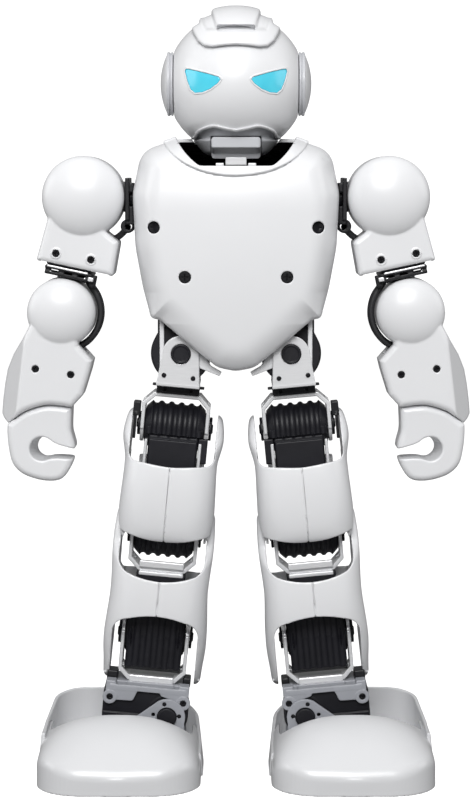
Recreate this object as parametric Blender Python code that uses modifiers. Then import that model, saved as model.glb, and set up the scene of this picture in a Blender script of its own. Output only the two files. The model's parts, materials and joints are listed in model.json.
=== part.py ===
"""Walking humanoid robot, standing, about 400 mm tall.

Frame: +Z up, the robot faces -Y, its own right side is -X, origin on the floor under its middle.
All driving dimensions are in millimetres; meshes are scaled to metres when an object is made.
Right-hand pieces are modelled and each left-hand twin is the mirrored mesh.
A limb has its own frame: x towards the middle of the robot, z back up the limb, origin at its top axis.
"""
import math

import bmesh
import bpy
from mathutils import Matrix, Vector

MM = 0.001
GAP = 0.3                      # between pieces that touch
MIDPLANE_Y = 5.0               # the body's middle plane, behind the middle of the long feet

# Torso, front view
TORSO_CENTRE_Z = 275.0
TORSO_WALL = 2.0
SHOULDER_Z = 300.0
SHELL_SPLIT = 0.15             # half of the seam between chest and back
PELVIS_TOP = 238.3
CHEST_SCREWS = ((41.5, 285.0), (25.8, 260.0))
CHEST_SCREW_RADIUS = 3.1
PELVIS_FRONT = -23.5           # the chest's point hangs in front of this plane

# Head
HEAD_CENTRE_Z = 358.0
HEAD_RADIUS = 36.0
HEAD_FLAT = 32.0               # the ball is cut flat here, where an ear cap sits
HEAD_WALL = 2.0
EAR_RADIUS = 16.4
CREST_RADIUS = 40.0
NECK_POST_RADIUS = 4.5

# Arm: shoulder axis to elbow axis, and the domes round both
SHOULDER_X = -78.6
ARM_TILT = math.radians(-12.0)
UPPER_ARM = 60.6
ELBOW_S = 0.9                   # the elbow axis lies this much inside the upper arm's middle line
FOREARM_TILT = math.radians(-10.5)
SHOULDER_DOME = 21.2
ELBOW_DOME = 17.8
ARM_WALL = 1.8
SHOULDER_BACK = 15.2           # a dome is cut flat here, behind its axis
ELBOW_BACK = 13.0
HAND_HALF_DEPTH = 10.5
HAND_HOLE = (2.4, -71.7)
HAND_HOLE_RADIUS = 6.4
HAND_SLOT = 4.6

# Leg: drops below the hip roll axis
HIP_X = -28.3
HIP_Z = 220.0
LEG_TILT = math.radians(5.4)
HIP_PITCH = 39.5
KNEE = 96.4
ANKLE_PITCH = 150.5
ANKLE_ROLL = 190.0
ANKLE_ROLL_S = 10.1
SERVO_RADIUS = 13.0
SERVO_HALF = 15.5
BLOCK_HALF = 12.9
BRACKET_INNER = 15.9
BRACKET_OUTER = 17.75
BRACKET_DEPTH = 10.0
COVER_HALF = 24.8
COVER_WALL = 1.9
COVER_FRONT = -28.0
COVER_BACK = 20.5
HIP_SERVO_RADIUS = 15.6

# Foot
FOOT_X = -60.2
FOOT_HALF_WIDTH = 42.0
TOE_Y = -67.0
HEEL_Y = 57.0
SHOE_WALL = 2.0
SHOE_LEVELS = (                # inset of the sides, toe and heel, and the height
    (0.0, 0.0, 0.0, 0.0), (0.3, 0.3, 0.3, 10.5), (2.5, 6.5, 1.5, 18.5), (7.5, 16.0, 3.0, 26.0),
    (14.0, 27.0, 5.0, 31.0), (22.0, 37.0, 8.0, 33.6))

# Joint axes, as points on the right-hand side
TORSO_AXIS = Vector((0, 0, TORSO_CENTRE_Z))
LEG = Matrix.Translation((HIP_X, 0, HIP_Z)) @ Matrix.Rotation(LEG_TILT, 4, "Y")
ARM = Matrix.Translation((SHOULDER_X, 0, SHOULDER_Z)) @ Matrix.Rotation(-ARM_TILT, 4, "Y")
ELBOW_POINT = ARM @ Vector((ELBOW_S, 0, -UPPER_ARM))
FOREARM = Matrix.Translation(ELBOW_POINT) @ Matrix.Rotation(-FOREARM_TILT, 4, "Y")

WHITE = ("white_gloss", (0.86, 0.87, 0.88), 0.22, 0.0)
GREY = ("grey_plastic", (0.62, 0.63, 0.66), 0.35, 0.0)
BLACK = ("black_plastic", (0.025, 0.025, 0.03), 0.45, 0.0)
ALUMINIUM = ("bright_aluminium", (0.82, 0.83, 0.85), 0.3, 1.0)
LENS = ("eye_lens", (0.1, 0.72, 0.85), 0.2, 0.0)
BOARD = ("circuit_board", (0.03, 0.2, 0.08), 0.5, 0.0)


# ---------------------------------------------------------------- modelling helpers

def mesh_from(bm):
    """Close a bmesh as a mesh with its faces pointing out."""
    bmesh.ops.recalc_face_normals(bm, faces=bm.faces)
    if bm.calc_volume(signed=True) < 0:
        bmesh.ops.reverse_faces(bm, faces=bm.faces)
    mesh = bpy.data.meshes.new("solid")
    bm.to_mesh(mesh)
    bm.free()
    return mesh


def evaluated(obj):
    """The mesh that an object's modifiers or curve make, welded; the object is removed."""
    bpy.context.view_layer.update()
    graph = bpy.context.evaluated_depsgraph_get()
    mesh = bpy.data.meshes.new_from_object(obj.evaluated_get(graph))
    bpy.data.objects.remove(obj)
    bm = bmesh.new()
    bm.from_mesh(mesh)
    bpy.data.meshes.remove(mesh)
    bmesh.ops.remove_doubles(bm, verts=bm.verts, dist=0.0005)
    return mesh_from(bm)


def temporary(data):
    obj = bpy.data.objects.new("temporary", data)
    bpy.context.scene.collection.objects.link(obj)
    return obj


def box(low, high):
    bm = bmesh.new()
    bmesh.ops.create_cube(bm, size=1.0)
    size = Vector(high) - Vector(low)
    middle = (Vector(high) + Vector(low)) / 2
    bm.transform(Matrix.Translation(middle) @ Matrix.Diagonal(size.to_4d()))
    return mesh_from(bm)


def cylinder(start, end, radius, segments=20, end_radius=None):
    start = Vector(start)
    along = Vector(end) - start
    bm = bmesh.new()
    bmesh.ops.create_cone(
        bm, cap_ends=True, segments=segments, radius1=radius,
        radius2=radius if end_radius is None else end_radius, depth=along.length)
    turn = Vector((0, 0, 1)).rotation_difference(along).to_matrix().to_4x4()
    bm.transform(Matrix.Translation(start + along / 2) @ turn)
    return mesh_from(bm)


def sphere(centre, radius, around=20, rings=10):
    """A ball with its poles on the Y axis."""
    bm = bmesh.new()
    bmesh.ops.create_uvsphere(bm, u_segments=around, v_segments=rings, radius=radius)
    bm.transform(Matrix.Translation(centre) @ Matrix.Rotation(math.pi / 2, 4, "X"))
    return mesh_from(bm)


def arc(centre, radius, start, end, steps):
    """Points on a circle, from one angle to another in degrees."""
    angles = [math.radians(start + (end - start) * i / steps) for i in range(steps + 1)]
    return [(centre[0] + radius * math.cos(a), centre[1] + radius * math.sin(a)) for a in angles]


def rounded(corners, steps=3):
    """Turn (x, y, radius) corners of a closed outline into points with round corners."""
    points = []
    for i, (x, y, radius) in enumerate(corners):
        corner = Vector((x, y))
        before = (Vector(corners[i - 1][:2]) - corner).normalized()
        after = (Vector(corners[(i + 1) % len(corners)][:2]) - corner).normalized()
        half = before.angle(after) / 2
        if radius == 0 or half > math.pi / 2 - 0.02:
            points.append((x, y))
            continue
        reach = radius / math.tan(half)
        middle = corner + (before + after).normalized() * radius / math.sin(half)
        first = corner + before * reach - middle
        last = corner + after * reach - middle
        turn = first.angle_signed(last)
        for k in range(steps + 1):
            spoke = first.copy()
            spoke.rotate(Matrix.Rotation(-turn * k / steps, 2))
            points.append(tuple(middle + spoke))
    return points


def prism(outline, low, high, along="y", holes=()):
    """A flat outline with holes, given thickness along one axis.

    The outline's two numbers are x and z along y, y and z along x, and x and y along z.
    """
    curve = bpy.data.curves.new("outline", "CURVE")
    curve.dimensions = "2D"
    curve.fill_mode = "BOTH"
    curve.extrude = abs(high - low) / 2
    for ring in (outline, *holes):
        spline = curve.splines.new("POLY")
        spline.points.add(len(ring) - 1)
        spline.use_cyclic_u = True
        for point, (u, v) in zip(spline.points, ring):
            point.co = (u, v, 0, 1)
    mesh = evaluated(temporary(curve))
    bpy.data.curves.remove(curve)
    turns = {
        "y": Matrix(((1, 0, 0, 0), (0, 0, 1, 0), (0, 1, 0, 0), (0, 0, 0, 1))),
        "x": Matrix(((0, 0, 1, 0), (1, 0, 0, 0), (0, 1, 0, 0), (0, 0, 0, 1))),
        "z": Matrix.Identity(4)}
    middle = {"y": (0, 1, 0), "x": (1, 0, 0), "z": (0, 0, 1)}[along]
    place = Matrix.Translation(Vector(middle) * (low + high) / 2) @ turns[along]
    bm = bmesh.new()
    bm.from_mesh(mesh)
    bm.transform(place)
    bpy.data.meshes.remove(mesh)
    return mesh_from(bm)


def turned(profile, centre, steps=24):
    """A profile of (radius, height) points, top to bottom, turned about an upright axis."""
    bm = bmesh.new()
    verts = [bm.verts.new((r, 0, z)) for r, z in profile]
    for a, b in zip(verts, verts[1:]):
        bm.edges.new((a, b))
    mesh = bpy.data.meshes.new("profile")
    bm.to_mesh(mesh)
    bm.free()
    obj = temporary(mesh)
    screw = obj.modifiers.new("Turn", "SCREW")
    screw.steps = steps
    screw.render_steps = steps
    screw.use_merge_vertices = True
    screw.merge_threshold = 0.0001
    solid = evaluated(obj)
    solid.transform(Matrix.Translation(centre))
    return solid


def loft(rings):
    """Skin equal rings of points and cap both ends."""
    bm = bmesh.new()
    loops = [[bm.verts.new(point) for point in ring] for ring in rings]
    count = len(rings[0])
    for lower, upper in zip(loops, loops[1:]):
        for i in range(count):
            j = (i + 1) % count
            bm.faces.new((lower[i], lower[j], upper[j], upper[i]))
    bm.faces.new(loops[0])
    bm.faces.new(loops[-1])
    return mesh_from(bm)


def boolean(base, others, operation):
    obj = temporary(base)
    tools = [temporary(mesh) for mesh in others]
    for tool in tools:
        modifier = obj.modifiers.new("Boolean", "BOOLEAN")
        modifier.object = tool
        modifier.operation = operation
        modifier.solver = "EXACT"
    result = evaluated(obj)
    for tool in tools:
        bpy.data.objects.remove(tool)
    return result


def join(base, *others):
    return boolean(base, others, "UNION")


def cut(base, *others):
    return boolean(base, others, "DIFFERENCE")


def common(base, other):
    return boolean(base, (other,), "INTERSECT")


def placed(mesh, frame):
    mesh.transform(frame)
    return mesh


# ---------------------------------------------------------------- scene helpers

def clear_scene():
    for obj in list(bpy.data.objects):
        bpy.data.objects.remove(obj, do_unlink=True)


def material(spec):
    name, color, roughness, metallic = spec
    if name in bpy.data.materials:
        return bpy.data.materials[name]
    made = bpy.data.materials.new(name)
    made.use_nodes = True
    shader = made.node_tree.nodes["Principled BSDF"]
    shader.inputs["Base Color"].default_value = (*color, 1)
    shader.inputs["Roughness"].default_value = roughness
    shader.inputs["Metallic"].default_value = metallic
    return made


def mirrored(mesh):
    bm = bmesh.new()
    bm.from_mesh(mesh)
    bm.transform(Matrix.Scale(-1, 4, (1, 0, 0)))
    return mesh_from(bm)


class Robot:
    """Puts finished meshes into the scene, each under the empty of its joint axis."""

    def __init__(self):
        self.parts = bpy.data.collections.new("walking_humanoid_robot")
        self.guides = bpy.data.collections.new("joint_axes")
        for collection in (self.parts, self.guides):
            bpy.context.scene.collection.children.link(collection)
        self.axes = {}

    def axis(self, name, point):
        empty = bpy.data.objects.new(name, None)
        empty.empty_display_size = 0.01
        empty.location = (Vector(point) + Vector((0, MIDPLANE_Y, 0))) * MM
        self.guides.objects.link(empty)
        self.axes[name] = (empty, Vector(point))

    def axis_pair(self, name, point):
        self.axis("right_" + name, point)
        self.axis("left_" + name, Vector((-point[0], point[1], point[2])))

    def add(self, name, mesh, axis_name, finish):
        empty, point = self.axes[axis_name]
        data = mesh.copy()
        data.name = name
        data.transform(Matrix.Scale(MM, 4) @ Matrix.Translation(-point))
        data.materials.clear()
        data.materials.append(material(finish))
        data.shade_smooth()
        data.set_sharp_from_angle(angle=math.radians(35))
        obj = bpy.data.objects.new(name, data)
        obj.parent = empty
        self.parts.objects.link(obj)

    def add_pair(self, name, mesh, axis_name, finish):
        self.add("right_" + name, mesh, "right_" + axis_name, finish)
        self.add("left_" + name, mirrored(mesh), "left_" + axis_name, finish)


# ---------------------------------------------------------------- torso

def torso_ring(scale, y):
    half = (
        (30.5, 329.0, 5.0), (49.0, 322.0, 11.0), (52.6, 300.0, 25.0), (51.5, 275.0, 40.0),
        (47.6, 253.0, 30.0), (43.0, 237.0, 3.0))
    corners = [*half, (0.0, 211.5, 9.0), *((-x, z, r) for x, z, r in reversed(half))]
    centre = Vector((0, TORSO_CENTRE_Z))
    outline = [centre + (Vector(point) - centre) * scale for point in rounded(corners, 1)]
    return [(x, y, z) for x, z in outline]


def torso_half(levels):
    """A hollow half of the torso, open at the seam, from (y, scale) levels."""
    wall = TORSO_WALL if levels[0][0] > levels[-1][0] else -TORSO_WALL
    outer = loft([torso_ring(scale, y) for y, scale in levels])
    shrink = 1 - TORSO_WALL / 50
    inner_levels = [(levels[0][0] + wall, shrink)]
    inner_levels += [(y + wall, scale * shrink) for y, scale in levels[2:]]
    return cut(outer, loft([torso_ring(scale, y) for y, scale in inner_levels]))


def neck_opening():
    outline = rounded(((-34, 336, 0), (-17, 316, 9), (17, 316, 9), (34, 336, 0)), 3)
    return prism(outline, -45, 45)


def chest_shell():
    levels = ((-SHELL_SPLIT, 1.0), (-14, 1.0), (-24, 0.975), (-31, 0.92), (-36, 0.82), (-38, 0.62))
    shell = torso_half(levels)
    screws = [
        cylinder((side * x, -45, z), (side * x, -20, z), CHEST_SCREW_RADIUS, 12)
        for side in (-1, 1) for x, z in CHEST_SCREWS]
    pelvis = box((-60, PELVIS_FRONT, 200), (60, 5, PELVIS_TOP))
    return cut(shell, neck_opening(), pelvis, *shoulder_holes(), *screws)


def shoulder_holes():
    return [cylinder((side * 45, 0, SHOULDER_Z), (side * 60, 0, SHOULDER_Z), 9.5, 20) for side in (-1, 1)]


def back_shell():
    levels = ((SHELL_SPLIT, 1.0), (14, 1.0), (26, 0.97), (34, 0.9), (39, 0.78), (40.5, 0.58))
    shell = torso_half(levels)
    switch = box((-4.5, 30, 303.5), (4.5, 45, 308.5))
    below = box((-60, -5, 200), (60, 50, PELVIS_TOP))
    return cut(shell, neck_opening(), below, switch, *shoulder_holes())


def torso_frame():
    spine = box((-24, -3, PELVIS_TOP + 3), (24, 0, 313))
    shelf = box((-37, -18, PELVIS_TOP), (37, 18, PELVIS_TOP + 3))
    top = box((-24, -12, 311), (24, 12, 314))
    post_seat = cylinder((0, 0, 313), (0, 0, 317.5), 9, 20)
    post = cylinder((0, 0, 316), (0, 0, 327.5), NECK_POST_RADIUS, 20)
    return join(spine, shelf, top, post_seat, post)


def shoulder_servo():
    case = box((-47, -11, SHOULDER_Z - 15), (-27, 11, SHOULDER_Z + 10))
    horn = cylinder((-45, 0, SHOULDER_Z), (-54.6, 0, SHOULDER_Z), 6.5, 20)
    return join(case, horn)


def hip_servo():
    drum = cylinder((HIP_X, -17.5, HIP_Z), (HIP_X, 17.5, HIP_Z), HIP_SERVO_RADIUS, 28)
    case = box((HIP_X - 12, -16, HIP_Z), (HIP_X + 12, 16, PELVIS_TOP - 0.5))
    hub = cylinder((HIP_X, -22.2, HIP_Z), (HIP_X, 22.2, HIP_Z), 4.9, 20)
    return join(drum, case, hub)


def power_switch():
    slot_y = 36.8
    plate = box((-2.4, slot_y, 304.2), (2.4, slot_y + 3.2, 307.8))
    thumb = box((-1.0, slot_y + 2.0, 304.8), (1.0, slot_y + 5.0, 307.2))
    return join(plate, thumb)


# ---------------------------------------------------------------- head

def ball(radius):
    return turned(arc((0, 0), radius, 90, -90, 12), (0, 0, HEAD_CENTRE_Z), 28)


def head_solid(grow=0.0):
    flat = HEAD_FLAT + grow
    return common(ball(HEAD_RADIUS + grow), box((-flat, -50, 300), (flat, 50, 410)))


def head_shell():
    sleeve = box((-12.5, -13.3, 315), (12.5, 13.3, 335))
    return cut(head_solid(), head_solid(-HEAD_WALL), sleeve)


def eye_outline(grow=0.0):
    """The robot's right eye lens, slanting down to the nose, in x and z."""
    corners = (
        (-25.6 - grow, 364.4 + grow, 1.2), (-8.0 + grow, 360.0 + grow / 2, 1.0), (-14.1, 354.2 - grow, 5.0),
        (-22.6 - grow / 2, 353.6 - grow, 2.0), (-25.0 - grow, 359.2, 4.0))
    return rounded(corners, 2)


def face_shell():
    rear = box((-40, -0.15, 300), (40, 40, 400))
    eyes = [prism(eye_outline(GAP), -40, -10)]
    eyes.append(mirrored(eyes[0]))
    return cut(head_shell(), rear, *eyes)


def rear_head_shell():
    return cut(head_shell(), box((-40, -40, 300), (40, 0.15, 400)))


def eye_lens():
    return common(head_shell(), prism(eye_outline(), -40, -10))


def ear_cap():
    ring = cylinder((-HEAD_FLAT - GAP, 0, HEAD_CENTRE_Z), (-35.5, 0, HEAD_CENTRE_Z), EAR_RADIUS, 28)
    cap = cylinder((-35, 0, HEAD_CENTRE_Z), (-38.9, 0, HEAD_CENTRE_Z), 13.6, 28, 9.5)
    return join(ring, cap)


def crest_visor():
    half = ((21.0, 376.6, 2.5), (23.6, 386.0, 2.0), (19.5, 388.5, 1.0), (19.0, 393.0, 2.0), (9.0, 400.0, 6.0))
    corners = [*((-x, z, r) for x, z, r in half), *reversed(half)]
    slab = prism(rounded(corners, 2), -45, 20)
    slot = box((-10.2, -50, 383.6), (10.2, -27.5, 387.0))
    return cut(common(ball(CREST_RADIUS), slab), head_solid(GAP), slot)


def neck_sleeve():
    block = box((-12.2, -13, 320.5), (12.2, 13, 329.6))
    bore = cylinder((0, 0, 315), (0, 0, 328.0), NECK_POST_RADIUS + GAP, 20)
    return cut(block, bore)


# ---------------------------------------------------------------- arm

def shoulder_bracket():
    web = box((-57.0, -12, SHOULDER_Z - 12), (-54.9, 19, SHOULDER_Z + 10))
    arm_plate = box((SHOULDER_X, 17, SHOULDER_Z - 8), (-55.5, 19, SHOULDER_Z + 8))
    eye = cylinder((SHOULDER_X, 17, SHOULDER_Z), (SHOULDER_X, 19, SHOULDER_Z), 8, 20)
    knuckle = cylinder((-56, -6, SHOULDER_Z - 13), (-56, 4, SHOULDER_Z - 13), 1.8, 10)
    return join(web, arm_plate, eye, knuckle)


def tube(points, radius):
    """A round cable through the points, with closed ends."""
    curve = bpy.data.curves.new("cable", "CURVE")
    curve.dimensions = "3D"
    curve.bevel_depth = radius
    curve.bevel_resolution = 1
    curve.use_fill_caps = True
    spline = curve.splines.new("POLY")
    spline.points.add(len(points) - 1)
    for point, co in zip(spline.points, points):
        point.co = (*co, 1)
    mesh = evaluated(temporary(curve))
    bpy.data.curves.remove(curve)
    return mesh


def shoulder_cable():
    start = Vector((-57.6, -2, SHOULDER_Z - 17.0))
    end = Vector((-61.0, 1, SHOULDER_Z - 20.0))
    return tube([start, start.lerp(end, 0.5), end], 1.6)


def elbow_cable():
    reach = ELBOW_DOME + 2.3
    points = [(x, 0, z) for x, z in arc((0, 0), reach, 48, -52, 9)]
    return placed(tube(points, 1.9), FOREARM)


def upper_arm_cover():
    inner_side = 23.3
    outer_side = -16.5
    bottom = -36.7
    body = prism(
        rounded(((outer_side, -8, 0), (outer_side, bottom, 1), (inner_side, bottom, 1),
                 (inner_side, -18.5, 2), (15.5, -15.5, 2), (12, -8, 0)), 1),
        -16, SHOULDER_BACK)
    dome = sphere((0, 0, 0), SHOULDER_DOME)
    hollow = box(
        (outer_side + ARM_WALL, -16 + ARM_WALL, bottom - 1),
        (inner_side - ARM_WALL, SHOULDER_BACK - ARM_WALL, -17))
    hollow_dome = sphere((0, 0, 0), SHOULDER_DOME - ARM_WALL, 16, 8)
    servo_case = box((-12.3, -13.3, -20), (12.3, SHOULDER_BACK - ARM_WALL, -8))
    behind = box((-30, SHOULDER_BACK, -45), (30, 30, 30))
    screws = [cylinder((s, -20, z), (s, -10, z), 1.9, 10) for s, z in ((-7.6, -31), (10.6, -30.5))]
    cover = cut(join(body, dome), hollow_dome, hollow, servo_case, behind, *screws)
    return placed(cover, ARM)


def arm_servo(radius, half_depth, drop, half_width, hub_end):
    drum = cylinder((0, -half_depth, 0), (0, half_depth, 0), radius, 24)
    case = box((-half_width, -half_depth + 1, -drop), (half_width, half_depth - 1, 0))
    hub = cylinder((0, 0, 0), (0, hub_end, 0), 5, 20)
    return join(drum, case, hub)


def elbow_yoke():
    """The plate under the upper arm's servo, and the arm behind the elbow that it carries."""
    top = box((-12, -11, -39.6), (12.5, 16.6, -37.6))
    arm_plate = box((ELBOW_S - 7.5, 15.0, -UPPER_ARM), (ELBOW_S + 7.5, 16.6, -38))
    eye = cylinder((ELBOW_S, 15.0, -UPPER_ARM), (ELBOW_S, 16.6, -UPPER_ARM), 7.5, 16)
    return placed(join(top, arm_plate, eye), ARM)


def seam_arc(drop=0.0):
    """The curved joint between forearm and hand, outer side first."""
    return [(-17.5, -62.2 - drop), (-12.5, -56.6 - drop), (-8.1, -52.8 - drop), (0.0, -48.7 - drop),
            (6.7, -47.6 - drop), (14.0, -47.3 - drop)]


def forearm_cover():
    outline = [(10.5, -16.2), (20.5, -21.4), (18.8, -39.6), *reversed(seam_arc()),
               (-20.6, -60.5), (-22.0, -59.1), (-23.5, -50.9), (-23.9, -35.1), (-17.4, -18.7), (-14.6, -8.0),
               (8.0, -8.0)]
    body = prism(outline, -13.0, ELBOW_BACK)
    dome = sphere((0, 0, 0), ELBOW_DOME)
    hollow = box((-15.5, -11.2, -44), (16.0, ELBOW_BACK - ARM_WALL, -12))
    hollow_dome = sphere((0, 0, 0), ELBOW_DOME - 1.6, 16, 8)
    servo_case = box((-9.5, -10.2, -20), (9.5, ELBOW_BACK - ARM_WALL, -4))
    behind = box((-30, ELBOW_BACK, -70), (30, 30, 30))
    screws = [cylinder((s, -20, z), (s, -9, z), 1.9, 10) for s, z in ((-7.9, -30.9), (10.6, -30.5))]
    cover = cut(join(body, dome), hollow_dome, hollow, servo_case, behind, *screws)
    return placed(cover, FOREARM)


def hand():
    """A hook with a round grip hole and a slot into it from the robot's side."""
    seam = seam_arc(GAP)
    lip = 2.0
    palm = [
        *seam, (14.9, -54.4), (18.5, -66.7 + lip / 2), (19.4, -70.9 - lip / 2), (18.6, -79.6), (15.6, -85.6),
        (11.6, -87.3), (3.3, -87.9), (-4.9, -86.6), (-11.0, -82.0), (-15.6, -70.5)]
    blank = prism(palm, -HAND_HALF_DEPTH, HAND_HALF_DEPTH)
    s, z = HAND_HOLE
    grip = cylinder((s, -20, z), (s, 20, z), HAND_HOLE_RADIUS, 24)
    slot_frame = Matrix.Translation((s, 0, z)) @ Matrix.Rotation(math.radians(-8), 4, "Y")
    slot = placed(box((0, -20, -HAND_SLOT / 2), (26, 20, HAND_SLOT / 2)), slot_frame)
    return placed(cut(blank, grip, slot), FOREARM)


# ---------------------------------------------------------------- leg

def hip_roll_bracket():
    """Front and rear plates on the hip servo's hubs, joined by a plate below the servo."""
    outline = [*arc((0, 0), 9.3, 0, 180, 10), (-11.2, -16.0), (11.2, -16.0)]
    hub_hole = arc((0, 0), 4.9 + GAP, 0, 360 - 18, 19)
    front = prism(outline, -21.3, -19.6, holes=(hub_hole,))
    rear = prism(outline, 19.6, 21.3, holes=(hub_hole,))
    floor = box((-11.2, -21.3, -17.2), (11.2, 21.3, -15.9))
    pad = box((-10.8, -11.5, -21.5), (11.2, 11.5, -16.5))
    return placed(join(front, rear, floor, pad), LEG)


def u_bracket(axis_drop, plate_drop, plate_end, eye_radius=9.0):
    """A chamfered U whose two arms hold a servo's ends; the plate lies above or below the axis."""
    chamfer = 5.5
    towards = 1 if plate_drop > axis_drop else -1
    thickness = BRACKET_OUTER - BRACKET_INNER
    near = min(abs(plate_drop - axis_drop), abs(plate_end - axis_drop))
    far = max(abs(plate_drop - axis_drop), abs(plate_end - axis_drop))
    outer = [(-BRACKET_OUTER, 0), (-BRACKET_OUTER, far - chamfer), (-BRACKET_OUTER + chamfer, far),
             (BRACKET_OUTER - chamfer, far), (BRACKET_OUTER, far - chamfer), (BRACKET_OUTER, 0)]
    inner = [(BRACKET_INNER, 0), (BRACKET_INNER, near - chamfer + thickness / 2),
             (BRACKET_INNER - chamfer + thickness / 2, near),
             (-BRACKET_INNER + chamfer - thickness / 2, near),
             (-BRACKET_INNER, near - chamfer + thickness / 2), (-BRACKET_INNER, 0)]
    points = [(s, -axis_drop - towards * z) for s, z in outer + inner]
    strap = prism(points, -BRACKET_DEPTH, BRACKET_DEPTH)
    eyes = [
        cylinder((side * BRACKET_INNER, 0, -axis_drop), (side * BRACKET_OUTER, 0, -axis_drop), eye_radius, 20)
        for side in (-1, 1)]
    return join(strap, *eyes)


def leg_servo(axis_drop, case_start, case_end):
    """A drum with chamfered ends across the leg, and its case above or below it."""
    end_radius = 9.5
    shoulder = 11.5
    profile = ((0, SERVO_HALF), (end_radius, SERVO_HALF), (SERVO_RADIUS, shoulder),
               (SERVO_RADIUS, -shoulder), (end_radius, -SERVO_HALF), (0, -SERVO_HALF))
    across = Matrix.Translation((0, 0, -axis_drop)) @ Matrix.Rotation(math.pi / 2, 4, "Y")
    drum = placed(turned(profile, (0, 0, 0), 20), across)
    case = box((-BLOCK_HALF, -11.5, -max(case_start, case_end)), (BLOCK_HALF, 11.5, -min(case_start, case_end)))
    return placed(join(drum, case), LEG)


def cover_tube(start_drop, end_drop):
    """A square tube with round corners round the leg."""
    half = COVER_HALF
    outer = rounded(((-half, COVER_FRONT, 9), (half, COVER_FRONT, 9), (half, COVER_BACK, 8),
                     (-half, COVER_BACK, 8)), 3)
    w = COVER_WALL
    inner = rounded(((-half + w, COVER_FRONT + w, 7.5), (half - w, COVER_FRONT + w, 7.5),
                     (half - w, COVER_BACK - w, 6.5), (-half + w, COVER_BACK - w, 6.5)), 3)
    return prism(outer, -end_drop, -start_drop, along="z", holes=(inner,))


def side_mask(corners):
    """What a cover keeps in side view, from (y, drop, radius) corners."""
    return prism(rounded([(y, -drop, radius) for y, drop, radius in corners], 3), -40, 40, along="x")


def front_window(corners, low, high):
    """An opening between the side wings, from (s, drop, radius) corners."""
    return prism(rounded([(s, -drop, radius) for s, drop, radius in corners], 3), low, high)


def thigh_cover():
    knee_clear = 14.9
    mask = side_mask((
        (-29, 54, 2), (-19, 45, 5), (-9, 32.4, 5), (9, 32.4, 5), (21.5, 50, 4), (21.5, 80, 0), (4, 80, 0),
        (-knee_clear + 2, 84.5, 6), (-knee_clear, 97.9, 1), (-29, 97.9, 0)))
    wing_inner = COVER_HALF - COVER_WALL - 0.8
    top_front = front_window(
        ((-wing_inner, 20, 0), (wing_inner, 20, 0), (wing_inner, 55.5, 3), (0, 57.5, 20), (-wing_inner, 55.5, 3)),
        -40, 0)
    top_rear = front_window(
        ((-wing_inner, 20, 0), (wing_inner, 20, 0), (wing_inner, 58, 3), (-wing_inner, 58, 3)), 0, 40)
    bottom_front = front_window(((-26, 92.5, 0), (0, 98.6, 30), (26, 92.5, 0), (26, 105, 0), (-26, 105, 0)), -40, -16)
    cover = cut(common(cover_tube(31, 99), mask), top_front, top_rear, bottom_front)
    return placed(cover, LEG)


def shin_cover():
    mask = side_mask((
        (-12.8, 84.0, 10), (12.8, 84.0, 10), (13.0, 106, 4), (21.5, 117, 3), (21.5, 142, 5),
        (9, 174.6, 6), (-8, 174.6, 6), (-20, 152, 6), (-29, 143, 2), (-29, 111, 3), (-13.0, 101, 4)))
    wing_inner = COVER_HALF - COVER_WALL - 0.8
    top_front = front_window(
        ((-wing_inner, 75, 0), (wing_inner, 75, 0), (wing_inner, 112, 6), (0, 120.5, 30), (-wing_inner, 112, 6)),
        -40, 0)
    top_rear = front_window(
        ((-wing_inner, 75, 0), (wing_inner, 75, 0), (wing_inner, 119, 3), (-wing_inner, 119, 3)), 0, 40)
    bottom = front_window(
        ((-wing_inner, 185, 0), (-wing_inner, 141, 6), (0, 134.5, 30), (wing_inner, 141, 6), (wing_inner, 185, 0)),
        -40, 40)
    cover = cut(common(cover_tube(83, 176), mask), top_front, top_rear, bottom)
    return placed(cover, LEG)


def ankle_bracket():
    strap = u_bracket(ANKLE_PITCH, 171.0, 173.2)
    saddle = box((-22.5, -11.5, -177.6), (19.5, 11.5, -172.4))
    ears = [
        prism([*arc((s, -182.0), 3.6, 0, 342, 19)], -18.6, -17.0) for s in (-20.4, 17.4)]
    lugs = [
        box((-23.2, -18.6, -182.0), (-16.8, -10, -174.8)),
        box((13.8, -18.6, -182.0), (20.4, -10, -174.8))]
    clear = box((-30, -16.9, -200), (30, 16.9, -177.6))
    return placed(cut(join(strap, saddle, *lugs, *ears), clear), LEG)


def ankle_roll_servo():
    case = box((-24, -16.5, -199.5), (15.0, 16.5, -177.9))
    drum = cylinder((ANKLE_ROLL_S, -16.5, -ANKLE_ROLL), (ANKLE_ROLL_S, 16.5, -ANKLE_ROLL), 11.0, 24)
    hub = cylinder((ANKLE_ROLL_S, -22.3, -ANKLE_ROLL), (ANKLE_ROLL_S, 22.3, -ANKLE_ROLL), 4.9, 20)
    return placed(join(case, drum, hub), LEG)


def foot_bracket(hub):
    """Two round-topped plates on the roll servo's hubs, standing on a sole plate."""
    outline = [*arc((hub.x, hub.z), 9.6, -10, 125, 10), (hub.x - 30, 18.0), (hub.x - 30, SHOE_WALL + GAP),
               (hub.x + 9.4, SHOE_WALL + GAP)]
    hub_hole = arc((hub.x, hub.z), 4.9 + GAP, 0, 342, 19)
    front = prism(outline, -20.7, -19.0, holes=(hub_hole,))
    rear = prism(outline, 19.0, 20.7, holes=(hub_hole,))
    sole = box((hub.x - 30, -20.7, SHOE_WALL + GAP), (hub.x + 9.4, 20.7, SHOE_WALL + GAP + 1.8))
    return join(front, rear, sole)


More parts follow.
